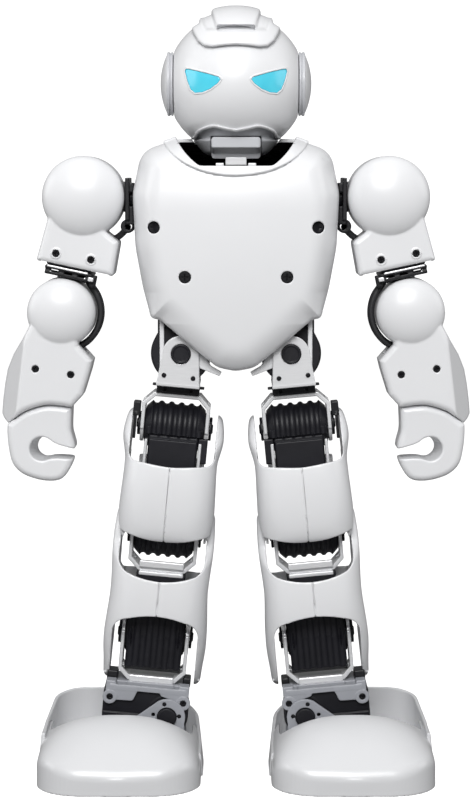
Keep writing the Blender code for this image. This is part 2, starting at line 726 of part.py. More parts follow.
def shoe_ring(side_inset, toe_inset, heel_inset, z, count=30):
    """The foot's plan: a broad round toe, straight sides and a round heel."""
    ring = []
    for i in range(count):
        angle = 2 * math.pi * i / count
        side = math.copysign(abs(math.cos(angle)) ** (2 / 4.0), math.cos(angle))
        along = math.copysign(abs(math.sin(angle)) ** (2 / 2.5), math.sin(angle))
        length = -TOE_Y - toe_inset if along < 0 else HEEL_Y - heel_inset
        ring.append((FOOT_X + side * (FOOT_HALF_WIDTH - side_inset), along * length, z))
    return ring


def shoe_solid(inset):
    """The foot's outer form: an upright wall, then a dome; grown smaller by an inset."""
    rings = []
    for side, toe, heel, z in SHOE_LEVELS:
        rings.append(shoe_ring(side + inset, toe + inset, heel + inset, z - inset if z else z))
    return loft(rings)


def shoe():
    outer = shoe_solid(0.0)
    inner = cut(shoe_solid(SHOE_WALL), box((-120, -80, -5), (0, 80, SHOE_WALL)))
    throat = rounded(((-97, -30, 18), (-21, -30, 14), (-21, 60, 18), (-97, 60, 18)), 4)
    opening = prism(throat, SHOE_WALL + 8, 60, along="z")
    heel = prism(
        ((-40, 26.5), (0, 22.5), (40, 27), (70, 29.5), (70, 60), (-40, 60)), -110, -10, along="x")
    heel = cut(heel, box((-130, -80, 0), (0, -26, 70)))
    return cut(outer, inner, opening, heel)


# ---------------------------------------------------------------- assembly

def build_torso(robot):
    robot.axis("torso", TORSO_AXIS)
    robot.add("chest_shell", chest_shell(), "torso", WHITE)
    robot.add("back_shell", back_shell(), "torso", WHITE)
    robot.add("torso_frame", torso_frame(), "torso", BLACK)
    robot.add("battery_pack", box((-22, 0.5, 243), (22, 23, 283)), "torso", BLACK)
    robot.add("main_board", box((-22, 1.0, 286), (22, 2.6, 310)), "torso", BOARD)
    robot.axis("switch_slide", (0, 38, 306))
    robot.add("power_switch", power_switch(), "switch_slide", BLACK)
    robot.axis_pair("hip_roll", (HIP_X, 0, HIP_Z))
    robot.axis_pair("shoulder_pitch", (SHOULDER_X, 0, SHOULDER_Z))
    robot.add_pair("shoulder_servo", shoulder_servo(), "shoulder_pitch", BLACK)
    robot.add_pair("hip_servo", hip_servo(), "hip_roll", BLACK)


def build_head(robot):
    head_point = (0, 0, HEAD_CENTRE_Z)
    robot.axis("head_turn", head_point)
    robot.axis_pair("head_turn", head_point)
    robot.add("face_shell", face_shell(), "head_turn", WHITE)
    robot.add("rear_head_shell", rear_head_shell(), "head_turn", WHITE)
    robot.add("crest_visor", crest_visor(), "head_turn", WHITE)
    robot.add("neck_sleeve", neck_sleeve(), "head_turn", GREY)
    robot.add_pair("eye_lens", eye_lens(), "head_turn", LENS)
    robot.add_pair("ear_cap", ear_cap(), "head_turn", WHITE)


def build_arms(robot):
    robot.axis_pair("shoulder_roll", (SHOULDER_X, 0, SHOULDER_Z))
    robot.axis_pair("elbow", ELBOW_POINT)
    upper_servo = placed(arm_servo(12.3, 13.8, 37.3, 11.5, 16.7), ARM)
    forearm_servo = placed(arm_servo(11.2, 10.8, 36.0, 9.0, 14.7), FOREARM)
    robot.add_pair("shoulder_bracket", shoulder_bracket(), "shoulder_pitch", BLACK)
    robot.add_pair("shoulder_cable", shoulder_cable(), "shoulder_pitch", BLACK)
    robot.add_pair("upper_arm_cover", upper_arm_cover(), "shoulder_roll", WHITE)
    robot.add_pair("upper_arm_servo", upper_servo, "shoulder_roll", BLACK)
    robot.add_pair("elbow_yoke", elbow_yoke(), "shoulder_roll", BLACK)
    robot.add_pair("elbow_cable", elbow_cable(), "shoulder_roll", BLACK)
    robot.add_pair("forearm_servo", forearm_servo, "elbow", BLACK)
    robot.add_pair("forearm_cover", forearm_cover(), "elbow", WHITE)
    robot.add_pair("hand", hand(), "elbow", WHITE)


def build_legs(robot):
    hub = LEG @ Vector((ANKLE_ROLL_S, 0, -ANKLE_ROLL))
    robot.axis_pair("hip_pitch", LEG @ Vector((0, 0, -HIP_PITCH)))
    robot.axis_pair("knee", LEG @ Vector((0, 0, -KNEE)))
    robot.axis_pair("ankle_pitch", LEG @ Vector((0, 0, -ANKLE_PITCH)))
    robot.axis_pair("ankle_roll", hub)
    hip_strap = placed(u_bracket(HIP_PITCH, 21.8, 24.0), LEG)
    knee_strap = placed(u_bracket(KNEE, 113.4, 115.6), LEG)
    robot.add_pair("hip_roll_bracket", hip_roll_bracket(), "hip_roll", ALUMINIUM)
    robot.add_pair("hip_pitch_bracket", hip_strap, "hip_roll", ALUMINIUM)
    robot.add_pair("thigh_servo", leg_servo(HIP_PITCH, HIP_PITCH, 67.5), "hip_pitch", BLACK)
    robot.add_pair("knee_servo", leg_servo(KNEE, 68.0, KNEE), "hip_pitch", BLACK)
    robot.add_pair("thigh_cover", thigh_cover(), "hip_pitch", WHITE)
    robot.add_pair("knee_bracket", knee_strap, "knee", ALUMINIUM)
    robot.add_pair("ankle_servo", leg_servo(ANKLE_PITCH, 116.0, ANKLE_PITCH), "knee", BLACK)
    robot.add_pair("shin_cover", shin_cover(), "knee", WHITE)
    robot.add_pair("ankle_bracket", ankle_bracket(), "ankle_pitch", ALUMINIUM)
    robot.add_pair("ankle_roll_servo", ankle_roll_servo(), "ankle_pitch", BLACK)
    robot.add_pair("foot_bracket", foot_bracket(hub), "ankle_roll", GREY)
    robot.add_pair("shoe", shoe(), "ankle_roll", WHITE)


def main():
    clear_scene()
    robot = Robot()
    build_torso(robot)
    build_head(robot)
    build_arms(robot)
    build_legs(robot)


main()
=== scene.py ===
"""Walking humanoid robot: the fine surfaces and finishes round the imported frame.

Most pieces are written as distance functions in millimetres, in the frame of the limb that they sit on,
and meshed by surface(). x points to the middle of the robot, y to its back and z back up the limb.
Right-hand pieces are made and their left-hand twins are mirrored.
"""
import json
import math
from itertools import product

import bpy
import numpy as np
from mathutils import Matrix, Vector


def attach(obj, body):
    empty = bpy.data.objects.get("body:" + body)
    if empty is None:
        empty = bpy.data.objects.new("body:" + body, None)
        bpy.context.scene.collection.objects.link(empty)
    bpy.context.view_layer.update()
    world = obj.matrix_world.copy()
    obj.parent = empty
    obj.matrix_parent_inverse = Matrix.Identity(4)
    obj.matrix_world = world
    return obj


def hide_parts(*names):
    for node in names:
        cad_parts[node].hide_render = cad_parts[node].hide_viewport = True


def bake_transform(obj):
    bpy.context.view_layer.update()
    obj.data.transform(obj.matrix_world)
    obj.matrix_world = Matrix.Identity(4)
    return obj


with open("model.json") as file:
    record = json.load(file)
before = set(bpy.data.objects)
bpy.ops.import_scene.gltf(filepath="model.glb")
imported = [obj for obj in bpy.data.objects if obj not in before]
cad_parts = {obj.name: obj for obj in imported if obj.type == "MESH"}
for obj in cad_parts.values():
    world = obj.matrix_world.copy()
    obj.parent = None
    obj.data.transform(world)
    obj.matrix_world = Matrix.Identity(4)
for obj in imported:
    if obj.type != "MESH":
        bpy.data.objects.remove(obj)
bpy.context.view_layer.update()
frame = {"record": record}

MM = 0.001
AXES = {j["name"]: Vector(j["pos_m"]) / MM for j in frame["record"]["behaviour"]["joints"] if "pos_m" in j}
MIDPLANE = AXES["right_hip_roll"].y

# ---------------------------------------------------------------- frames of the limbs


def limb(origin, tilt):
    return Matrix.Translation(origin) @ Matrix.Rotation(tilt, 4, "Y")


def drop(name):
    """How far a leg joint lies below the hip's roll axis."""
    return (AXES["right_hip_roll"] - AXES[name]).length


HIP, KNEE_POINT = AXES["right_hip_roll"], AXES["right_knee"]
LEG = limb(HIP, math.atan2(HIP.x - KNEE_POINT.x, HIP.z - KNEE_POINT.z))
ARM = limb(AXES["right_shoulder_roll"], math.radians(12.0))
FOREARM = limb(AXES["right_elbow"], math.radians(10.5))
HEAD_ORIGIN_Z = 356.0
HEAD = Matrix.Translation((0, MIDPLANE, HEAD_ORIGIN_Z))
BODY = Matrix.Translation((0, MIDPLANE, 0))
SHOULDER = Matrix.Translation(AXES["right_shoulder_roll"])
ELBOW = ARM.inverted() @ AXES["right_elbow"]
ROLL_HUB = LEG.inverted() @ AXES["right_ankle_roll"]
FOOT = Matrix.Translation((AXES["right_ankle_roll"].x, MIDPLANE, 0))
HIP_PITCH, KNEE, ANKLE = drop("right_hip_pitch"), drop("right_knee"), drop("right_ankle_pitch")

# ---------------------------------------------------------------- distance functions


def smooth_min(a, b, k):
    if k <= 0:
        return np.minimum(a, b)
    h = np.maximum(k - np.abs(a - b), 0) / k
    return np.minimum(a, b) - h * h * k / 4


def union(*shapes, k=0.4):
    def f(p):
        value = shapes[0](p)
        for shape in shapes[1:]:
            value = smooth_min(value, shape(p), k)
        return value
    return f


def meet(*shapes, k=0.4):
    def f(p):
        value = -shapes[0](p)
        for shape in shapes[1:]:
            value = smooth_min(value, -shape(p), k)
        return -value
    return f


def invert(shape):
    return lambda p: -shape(p)


def cut(shape, *tools, k=0.4):
    return meet(shape, *(invert(tool) for tool in tools), k=k)


def grown(shape, by):
    return lambda p: shape(p) - by


def shell(shape, wall, k=0.4):
    return meet(shape, lambda p: -(shape(p) + wall), k=k)


def both_sides(shape):
    """The shape and its mirror image across x = 0."""
    return lambda p: shape(np.column_stack((-np.abs(p[:, 0]), p[:, 1], p[:, 2])))


def moved(shape, matrix):
    """A shape written in another frame; matrix takes that frame to this one."""
    back = np.array(matrix.inverted())
    return lambda p: shape(p @ back[:3, :3].T + back[:3, 3])


def plane(axis, level, side=1):
    """Everything on the low side of a level, or on the high side with side -1."""
    return lambda p: side * (p[:, axis] - level)


def ball(centre, radius):
    return lambda p: np.linalg.norm(p - np.array(centre), axis=1) - radius


def block(low, high, rim=0.4):
    low, high = np.array(low, float), np.array(high, float)
    middle, half = (low + high) / 2, (high - low) / 2 - rim

    def f(p):
        q = np.abs(p - middle) - half
        return np.linalg.norm(np.maximum(q, 0), axis=1) + np.minimum(q.max(axis=1), 0) - rim
    return f


def rod(start, end, radius, rim=0.4, end_radius=None):
    """A round bar with soft rims; it tapers when end_radius is given."""
    start, end = np.array(start, float), np.array(end, float)
    length = np.linalg.norm(end - start)
    along = (end - start) / length
    slope = 0 if end_radius is None else (end_radius - radius) / length

    def f(p):
        q = p - (start + end) / 2
        height = q @ along
        spoke = np.linalg.norm(q - np.outer(height, along), axis=1)
        outside = (spoke - radius - slope * (height + length / 2)) / math.hypot(1, slope) + rim
        beyond = np.abs(height) - length / 2 + rim
        return np.hypot(np.maximum(outside, 0), np.maximum(beyond, 0)) + np.minimum(
            np.maximum(outside, beyond), 0) - rim
    return f


def flat(outline, u, v):
    """Distance to a closed outline in the plane, negative inside."""
    points = np.array(outline, float)
    best = np.full(u.shape, 1e12)
    inside = np.zeros(u.shape, bool)
    for (ax, ay), (bx, by) in zip(points, np.roll(points, -1, axis=0)):
        ex, ey = bx - ax, by - ay
        wx, wy = u - ax, v - ay
        t = np.clip((wx * ex + wy * ey) / max(ex * ex + ey * ey, 1e-12), 0, 1)
        best = np.minimum(best, (wx - ex * t) ** 2 + (wy - ey * t) ** 2)
        if ay != by:
            inside ^= ((ay > v) != (by > v)) & (u < ex * wy / ey + ax)
    return np.where(inside, -1, 1) * np.sqrt(best)


def field(outline):
    """The same distance, read from a fine grid by cubic interpolation."""
    points = np.array(outline, float)
    low, high = points.min(axis=0) - 6, points.max(axis=0) + 6
    pitch = (high - low).max() / 260
    count = np.ceil((high - low) / pitch).astype(int) + 4
    u, v = (low[i] + pitch * (np.arange(count[i]) - 1) for i in (0, 1))
    values = flat(outline, *np.meshgrid(u, v, indexing="ij"))

    def f(u, v):
        cells, parts, beyond = [], [], []
        for value, start, size in zip((u, v), low, count):
            place = np.clip((value - start) / pitch + 1, 1, size - 2.001)
            cells.append(place.astype(int))
            parts.append(place - cells[-1])
            beyond.append(value - start - (place - 1) * pitch)
        weights = [(
            0.5 * t * ((2 - t) * t - 1), 0.5 * (t * t * (3 * t - 5) + 2), 0.5 * t * ((4 - 3 * t) * t + 1),
            0.5 * (t - 1) * t * t) for t in parts]
        result = np.hypot(*beyond)
        for i in range(4):
            row = sum(weights[1][j] * values[cells[0] + i - 1, cells[1] + j - 1] for j in range(4))
            result = result + weights[0][i] * row
        return result
    return f


PLANES = {"x": (1, 2, 0), "y": (0, 2, 1), "z": (0, 1, 2)}


def slab(outline, low, high, along="y", rim=0.4, grow=0.0):
    """An outline given thickness along one axis, with soft rims."""
    u, v, w = PLANES[along]
    distance = field(outline)

    def f(p):
        outside = distance(p[:, u], p[:, v]) - grow + rim
        beyond = np.abs(p[:, w] - (low + high) / 2) - abs(high - low) / 2 + rim
        return np.hypot(np.maximum(outside, 0), np.maximum(beyond, 0)) + np.minimum(
            np.maximum(outside, beyond), 0) - rim
    return f


def arc(centre, radius, start, end, steps=10):
    angles = np.radians(np.linspace(start, end, steps + 1))
    return [(centre[0] + radius * math.cos(a), centre[1] + radius * math.sin(a)) for a in angles]


def rounded(corners, steps=4):
    """Points of a closed outline whose (x, y, radius) corners are rounded."""
    points = []
    for i, (x, y, radius) in enumerate(corners):
        corner = Vector((x, y))
        before = (Vector(corners[i - 1][:2]) - corner).normalized()
        after = (Vector(corners[(i + 1) % len(corners)][:2]) - corner).normalized()
        half = before.angle(after) / 2
        if radius == 0 or half > math.pi / 2 - 0.02:
            points.append((x, y))
            continue
        middle = corner + (before + after).normalized() * radius / math.sin(half)
        first = corner + before * radius / math.tan(half) - middle
        turn = first.angle_signed(corner + after * radius / math.tan(half) - middle)
        for k in range(steps + 1):
            spoke = first.copy()
            spoke.rotate(Matrix.Rotation(-turn * k / steps, 2))
            points.append(tuple(middle + spoke))
    return points


def swept(points, steps=6):
    """A smooth line through a few points."""
    pts = [Vector(p) for p in points]
    pts = [pts[0] * 2 - pts[1], *pts, pts[-1] * 2 - pts[-2]]
    line = []
    for a, b, c, d in zip(pts, pts[1:], pts[2:], pts[3:]):
        for i in range(steps):
            t = i / steps
            line.append(0.5 * (2 * b + (c - a) * t + (2 * a - 5 * b + 4 * c - d) * t ** 2
                               + (3 * b - a - 3 * c + d) * t ** 3))
    return [*line, pts[-2]]


def tube(points, radius):
    """A round cord along a line of points."""
    ends = np.array([tuple(p) for p in points])

    def f(p):
        best = np.full(len(p), 1e12)
        for a, b in zip(ends, ends[1:]):
            along = b - a
            t = np.clip((p - a) @ along / (along @ along), 0, 1)
            best = np.minimum(best, ((p - a - np.outer(t, along)) ** 2).sum(axis=1))
        return np.sqrt(best) - radius
    return f


def bands(value, pitch, sharpness=1.0):
    """A wave from 0 to 1, flatter at its ends when it is sharper."""
    wave = np.cos(2 * math.pi * value / pitch)
    return 0.5 + 0.5 * np.tanh(sharpness * wave * 1.4) / math.tanh(sharpness * 1.4)


# ---------------------------------------------------------------- meshing


def slope(f, p, reach):
    """The gradient of a distance function at points."""
    result = np.empty_like(p)
    for axis in range(3):
        nudge = np.zeros(3)
        nudge[axis] = reach
        result[:, axis] = (f(p + nudge) - f(p - nudge)) / (2 * reach)
    return result


def in_chunks(f, p, size=400000):
    return np.concatenate([f(p[i:i + size]) for i in range(0, len(p), size)])


def near_surface(f, low, shape, step, side=8):
    """Values of f on a grid, worked out only in blocks that the surface may cross."""
    values = np.empty(shape, np.float32)
    blocks = tuple(-(-n // side) for n in shape)
    centres = low + step * side * (np.stack(
        np.meshgrid(*map(np.arange, blocks), indexing="ij"), axis=-1).reshape(-1, 3) + 0.5)
    middle = in_chunks(f, centres)
    near = np.abs(middle) < step * side * 1.15
    coarse = np.repeat(np.repeat(np.repeat(middle.reshape(blocks), side, 0), side, 1), side, 2)
    values[:] = coarse[:shape[0], :shape[1], :shape[2]]
    wanted = np.repeat(np.repeat(np.repeat(near.reshape(blocks), side, 0), side, 1), side, 2)
    cells = np.argwhere(wanted[:shape[0], :shape[1], :shape[2]])
    values[tuple(cells.T)] = in_chunks(f, low + step * cells)
    return values


def surface(f, low, high, step):
    """A net of quads over the zero level of f, its points pulled onto that level."""
    low = np.array(low, float)
    shape = tuple(np.ceil((np.array(high) - low) / step).astype(int) + 1)
    inside = near_surface(f, low, shape, step) < 0
    count = sum(
        inside[i:shape[0] - 1 + i, j:shape[1] - 1 + j, k:shape[2] - 1 + k].astype(np.int8)
        for i, j, k in product((0, 1), repeat=3))
    active = (count > 0) & (count < 8)
    index = np.full(active.shape, -1)
    index[active] = np.arange(active.sum())
    points = low + step * (np.argwhere(active) + 0.5)
    centres = points.copy()
    for _ in range(3):
        gradient = slope(f, points, step * 0.05)
        length = np.maximum((gradient ** 2).sum(axis=1), 0.05)
        points -= gradient * (f(points) / length)[:, None]
        points = centres + np.clip(points - centres, -0.75 * step, 0.75 * step)
    faces = []
    for a in range(3):
        b, c = (a + 1) % 3, (a + 2) % 3
        first = np.take(inside, range(shape[a] - 1), axis=a)
        cross = np.argwhere(first != np.take(inside, range(1, shape[a]), axis=a))
        kept = (cross[:, b] > 0) & (cross[:, c] > 0) & (cross[:, b] < shape[b] - 1) & (cross[:, c] < shape[c] - 1)
        cross = cross[kept]
        unit = np.eye(3, dtype=int)
        ring = (cross - unit[b] - unit[c], cross - unit[c], cross, cross - unit[b])
        quads = np.stack([index[tuple(cell.T)] for cell in ring], axis=1)
        outward = first[tuple(cross.T)]
        quads[~outward] = quads[~outward, ::-1]
        faces.append(quads)
    return points, np.concatenate(faces)


def thinned(points, faces, keep):
    """Collapse edges where the surface is flat; returns points and triangles."""
    mesh = bpy.data.meshes.new("net")
    mesh.from_pydata(points.tolist(), [], faces.tolist())
    obj = bpy.data.objects.new("net", mesh)
    bpy.context.scene.collection.objects.link(obj)
    modifier = obj.modifiers.new("Thin", "DECIMATE")
    modifier.ratio = keep
    graph = bpy.context.evaluated_depsgraph_get()
    result = bpy.data.meshes.new_from_object(obj.evaluated_get(graph))
    bpy.data.objects.remove(obj)
    bpy.data.meshes.remove(mesh)
    result.calc_loop_triangles()
    coordinates = np.empty(len(result.vertices) * 3)
    result.vertices.foreach_get("co", coordinates)
    corners = np.empty(len(result.loop_triangles) * 3, np.int32)
    result.loop_triangles.foreach_get("vertices", corners)
    bpy.data.meshes.remove(result)
    return coordinates.reshape(-1, 3), corners.reshape(-1, 3)


def placed_mesh(name, points, faces, normals, place, mirror):
    turn = np.array(place)
    world = (points @ turn[:3, :3].T + turn[:3, 3]) * MM
    shading = normals @ turn[:3, :3].T
    if mirror:
        world[:, 0] *= -1
        shading[:, 0] *= -1
        faces = faces[:, ::-1]
    mesh = bpy.data.meshes.new(name)
    mesh.from_pydata(world.tolist(), [], faces.tolist())
    mesh.polygons.foreach_set("use_smooth", [True] * len(mesh.polygons))
    mesh.normals_split_custom_set_from_vertices(shading.tolist())
    return mesh


def add(name, f, low, high, step, finish, body, place, nodes=(), twin=True, keep=0.3):
    """Mesh a distance function, and ride it, and its left-hand twin, on their bodies."""
    points, faces = surface(f, low, high, step)
    points, faces = thinned(points, faces, keep)
    normals = slope(f, points, 0.08)
    normals /= np.maximum(np.linalg.norm(normals, axis=1), 1e-6)[:, None]
    sides = (("right_", False), ("left_", True)) if twin else (("", False),)
    made = []
    for prefix, mirror in sides:
        mesh = placed_mesh(prefix + name, points, faces, normals, place, mirror)
        obj = bpy.data.objects.new(prefix + name, mesh)
        bpy.context.scene.collection.objects.link(obj)
        mesh.materials.append(FINISHES[finish])
        if body:
            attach(obj, prefix + body if body in SIDED else body)
        if nodes:
            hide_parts(*(prefix + node for node in nodes))
        made.append(obj)
    return made


SIDED = ("shoulder", "upper_arm", "forearm", "hip", "thigh", "shin", "ankle", "foot")

# ---------------------------------------------------------------- finishes


def node_material(name, roughness, metallic=0.0, coat=0.0, specular=0.5):
    made = bpy.data.materials.new(name)
    made.use_nodes = True
    shader = made.node_tree.nodes["Principled BSDF"]
    shader.inputs["Roughness"].default_value = roughness
    shader.inputs["Metallic"].default_value = metallic
    shader.inputs["Coat Weight"].default_value = coat
    shader.inputs["Coat Roughness"].default_value = 0.22
    shader.inputs["Specular IOR Level"].default_value = specular
    return made, made.node_tree.nodes, made.node_tree.links, shader


def noise(nodes, links, scale, detail=2.0, stretch=(1, 1, 1)):
    where = nodes.new("ShaderNodeTexCoord")
    mapping = nodes.new("ShaderNodeMapping")
    mapping.inputs["Scale"].default_value = stretch
    links.new(where.outputs["Object"], mapping.inputs["Vector"])
    texture = nodes.new("ShaderNodeTexNoise")
    texture.inputs["Scale"].default_value = scale
    texture.inputs["Detail"].default_value = detail
    links.new(mapping.outputs["Vector"], texture.inputs["Vector"])
    return texture.outputs["Fac"]


def ramp(nodes, links, source, stops):
    made = nodes.new("ShaderNodeValToRGB")
    elements = made.color_ramp.elements
    for i, (position, color) in enumerate(stops):
        element = elements[i] if i < 2 else elements.new(position)
        element.position = position
        element.color = (*color, 1)
    links.new(source, made.inputs["Fac"])
    return made.outputs["Color"]


def spread(nodes, links, source, low, high):
    made = nodes.new("ShaderNodeMapRange")
    made.inputs["To Min"].default_value = low
    made.inputs["To Max"].default_value = high
    links.new(source, made.inputs["Value"])
    return made.outputs["Result"]


def bump(nodes, links, shader, source, strength, distance):
    made = nodes.new("ShaderNodeBump")
    made.inputs["Strength"].default_value = strength
    made.inputs["Distance"].default_value = distance
    links.new(source, made.inputs["Height"])
    links.new(made.outputs["Normal"], shader.inputs["Normal"])


def moulded(name, color, roughness, coat=0.0, grain=900, depth=0.00002, mottle=0.03, specular=0.5):
    """Moulded plastic or paint: a slight mottle, uneven gloss and a fine grain."""
    made, nodes, links, shader = node_material(name, roughness, coat=coat, specular=specular)
    dark = tuple(c * (1 - mottle) for c in color)
    light = tuple(min(c * (1 + mottle), 1) for c in color)
    tone = ramp(nodes, links, noise(nodes, links, 35, 4), ((0.3, dark), (0.7, light)))
    links.new(tone, shader.inputs["Base Color"])
    gloss = spread(nodes, links, noise(nodes, links, 140, 3), roughness * 0.85, roughness * 1.2)
    links.new(gloss, shader.inputs["Roughness"])
    bump(nodes, links, shader, noise(nodes, links, grain, 2), 0.25, depth)
    return made


def brushed(name, color, roughness, stretch=(1, 1, 24)):
    """Sheet metal with fine brushing lines."""
    made, nodes, links, shader = node_material(name, roughness, metallic=0.4)
    lines = noise(nodes, links, 120, 2, stretch)
    dark = tuple(c * 0.94 for c in color)
    links.new(ramp(nodes, links, lines, ((0.3, dark), (0.7, color))), shader.inputs["Base Color"])
    links.new(spread(nodes, links, lines, roughness * 0.9, roughness * 1.15), shader.inputs["Roughness"])
    bump(nodes, links, shader, lines, 0.05, 0.00001)
    return made


def lens_finish():
    made, nodes, links, shader = node_material("cyan_lens", 0.18, coat=0.5)
    glow = ramp(
        nodes, links, noise(nodes, links, 90, 2), ((0.2, (0.055, 0.5, 0.66)), (0.8, (0.09, 0.6, 0.74))))
    links.new(glow, shader.inputs["Base Color"])
    links.new(glow, shader.inputs["Emission Color"])
    shader.inputs["Emission Strength"].default_value = 0.22
    bump(nodes, links, shader, noise(nodes, links, 1200, 1), 0.1, 0.00001)
    return made


def board_finish():
    made, nodes, links, shader = node_material("circuit_board", 0.4)
    cells = nodes.new("ShaderNodeTexVoronoi")
    cells.inputs["Scale"].default_value = 260
    links.new(
        ramp(nodes, links, cells.outputs["Distance"], ((0.1, (0.5, 0.42, 0.15)), (0.3, (0.01, 0.12, 0.05)))),
        shader.inputs["Base Color"])
    return made


FINISHES = {
    "white_shell": moulded("white_shell", (0.8, 0.805, 0.82), 0.32, coat=0.25, mottle=0.006),
    # The shoes' white is the shells' white made darker: painted shade on the shoes.
    "shoe_white": moulded("shoe_white", (0.70, 0.705, 0.72), 0.3, coat=0.2, mottle=0.008),
    "pale_grey_plastic": moulded("pale_grey_plastic", (0.55, 0.56, 0.585), 0.33, mottle=0.02),
    "grey_bracket": moulded("grey_bracket", (0.33, 0.34, 0.37), 0.36, mottle=0.05, depth=0.00004),
    "bright_aluminium": brushed("bright_aluminium", (0.9, 0.905, 0.92), 0.34),
    "black_bracket": moulded("black_bracket", (0.009, 0.009, 0.011), 0.38, mottle=0.2, depth=0.00004, specular=0.4),
    "black_frame": moulded("black_frame", (0.005, 0.005, 0.007), 0.45, mottle=0.2, depth=0.00005, specular=0.25),
    "servo_case": moulded("servo_case", (0.008, 0.008, 0.0115), 0.45, mottle=0.25, grain=1500, depth=0.00006,
                          specular=0.35),
    "battery_wrap": moulded("battery_wrap", (0.03, 0.03, 0.04), 0.3, mottle=0.3),
    "circuit_board": board_finish(),
    "black_cable": moulded("black_cable", (0.014, 0.014, 0.016), 0.5, mottle=0.2, grain=500, depth=0.0001),
    "cyan_lens": lens_finish(),
}


def finish_cad_nodes():
    """CAD nodes that stay get their slot's finish."""
    slots = {part["node"]: part["material_slot"] for part in frame["record"]["subparts"]}
    for node, slot in slots.items():
        obj = bpy.data.objects[node]
        obj.data.materials.clear()
        obj.data.materials.append(FINISHES[slot])


# ---------------------------------------------------------------- shared small pieces


def screw(x, y, z, radius, facing=-1, depth=0.8, axis=1):
    """A round head with a cross recess, facing along an axis."""
    step = np.zeros(3)
    step[axis] = facing
    seat = np.array((x, y, z), float)
    head = rod(seat - step * 2.2, seat, radius, 0.3)
    if radius < 1.5:
        return head
    reach = radius * 0.62
    bars = []
    for turn in (0, 1):
        half = np.full(3, 0.24)
        half[(axis + 1 + turn) % 3] = reach
        half[axis] = depth
        bars.append(block(seat - half, seat + half, 0.1))
    return cut(head, *bars, k=0.1)


def screws(name, seats, radius, finish, body, place, facing=-1, axis=1, twin=True, step=0.3):
    shape = union(*(screw(*seat, radius, facing, axis=axis) for seat in seats), k=0)
    seats = np.array(seats, float)
    margin = radius + 2.8
    return add(name, shape, seats.min(axis=0) - margin, seats.max(axis=0) + margin, step, finish, body, place,
               twin=twin, keep=0.35)


# ---------------------------------------------------------------- torso

TORSO_TOP_TO_TIP = (
    (30.0, 330.0, 6.0), (48.5, 323.5, 12.0), (52.8, 302.0, 24.0), (51.6, 275.0, 60.0), (47.6, 253.0, 60.0),
    (43.4, 238.6, 3.0), (38.5, 237.6, 4.0), (22.0, 223.4, 40.0), (9.5, 213.2, 12.0))
TORSO_OUTLINE = rounded(
    (*TORSO_TOP_TO_TIP, (0.0, 211.3, 14.0), *((-x, z, r) for x, z, r in reversed(TORSO_TOP_TO_TIP))), 12)
NECK_FRONT = 316.0
PELVIS_TOP = 238.3
CHEST_SCREWS = ((-41.5, 285.0), (41.5, 285.0), (-25.8, 260.0), (25.8, 260.0))


TORSO_EDGE = field(TORSO_OUTLINE)


def torso_form(p):
    """The closed outer form of the torso: a domed slab with soft rims."""
    x, y, z = p.T
    outside = TORSO_EDGE(x, z)
    inset = np.clip(1 + outside / 15, 0, 1)
    front = 38.0 - 3.5 * (x / 52) ** 2 - 7.0 * np.clip((z - 292) / 36, 0, 2) ** 2
    rim = 15 - 8.5 * np.clip((252 - z) / 16, 0, 1)
    front = front - 6.0 * np.clip((286 - z) / 75, 0, 1) ** 2 - rim * inset ** 2.6
    back = 40.5 - 3.0 * (x / 52) ** 2 - 3.0 * ((z - 280) / 50) ** 2 - 16 * inset ** 2.4
    depth = np.where(y < 0, -y - front, y - back) * 0.75
    return -smooth_min(-outside, -depth, 2.0)


NECK_OPENING = slab(
    [*((-x, z) for x, z in swept(((36, 345), (31, 331), (25.5, 322.5), (19.5, NECK_FRONT + 0.8), (16.5, NECK_FRONT)))),
     *((x, z) for x, z in reversed(swept(((36, 345), (31, 331), (25.5, 322.5), (19.5, NECK_FRONT + 0.8),
                                         (16.5, NECK_FRONT)))))],
    -60, 60, rim=0)
NAPE_OPENING = slab(rounded(((-27, 350, 0), (-22.5, 327.3, 4), (22.5, 327.3, 4), (27, 350, 0))), -60, 60, rim=0)
COLLAR = [
    *((-x, z) for x, z in swept(((46, 345), (36.5, 327), (28, 318.5), (18, 313.5), (8, 311.3), (0, 310.8)))),
    *((x, z) for x, z in reversed(swept(((46, 345), (36.5, 327), (28, 318.5), (18, 313.5), (8, 311.3))))),]


COLLAR_EDGE = field(COLLAR)


def collar_band(p):
    """The raised band round the neck opening."""
    outside = COLLAR_EDGE(p[:, 0], p[:, 2])
    raised = torso_form(p) - 1.3
    return -smooth_min(-raised, -outside, 1.2)


def chest_shell():
    form = union(torso_form, collar_band, k=0.4)
    hollow = shell(form, 2.0)
    pelvis = block((-70, -23.5, 190), (70, 8, PELVIS_TOP), 1.0)
    holes = [rod((x, -60, z), (x, -20, z), 3.1, 0.2) for x, z in CHEST_SCREWS]
    horns = both_sides(rod((-60, 0, 300), (-45, 0, 300), 9.5))
    piece = cut(hollow, NECK_OPENING, pelvis, horns, plane(1, -0.2, -1), *holes, k=0.5)
    add("chest_shell_visual", piece, (-56, -42, 208), (56, 2, 334), 0.8, "white_shell", "torso", BODY,
        ("chest_shell",), twin=False, keep=0.35)
    seats = []
    for x, z in CHEST_SCREWS:
        front = -38.0 + 3.5 * (x / 52) ** 2 + (2.6 if abs(x) > 35 else 0.2)
        seats.append((x, front + 1.2, z))
    screws("chest_screws", seats, 2.9, "black_frame", "torso", BODY, twin=False)


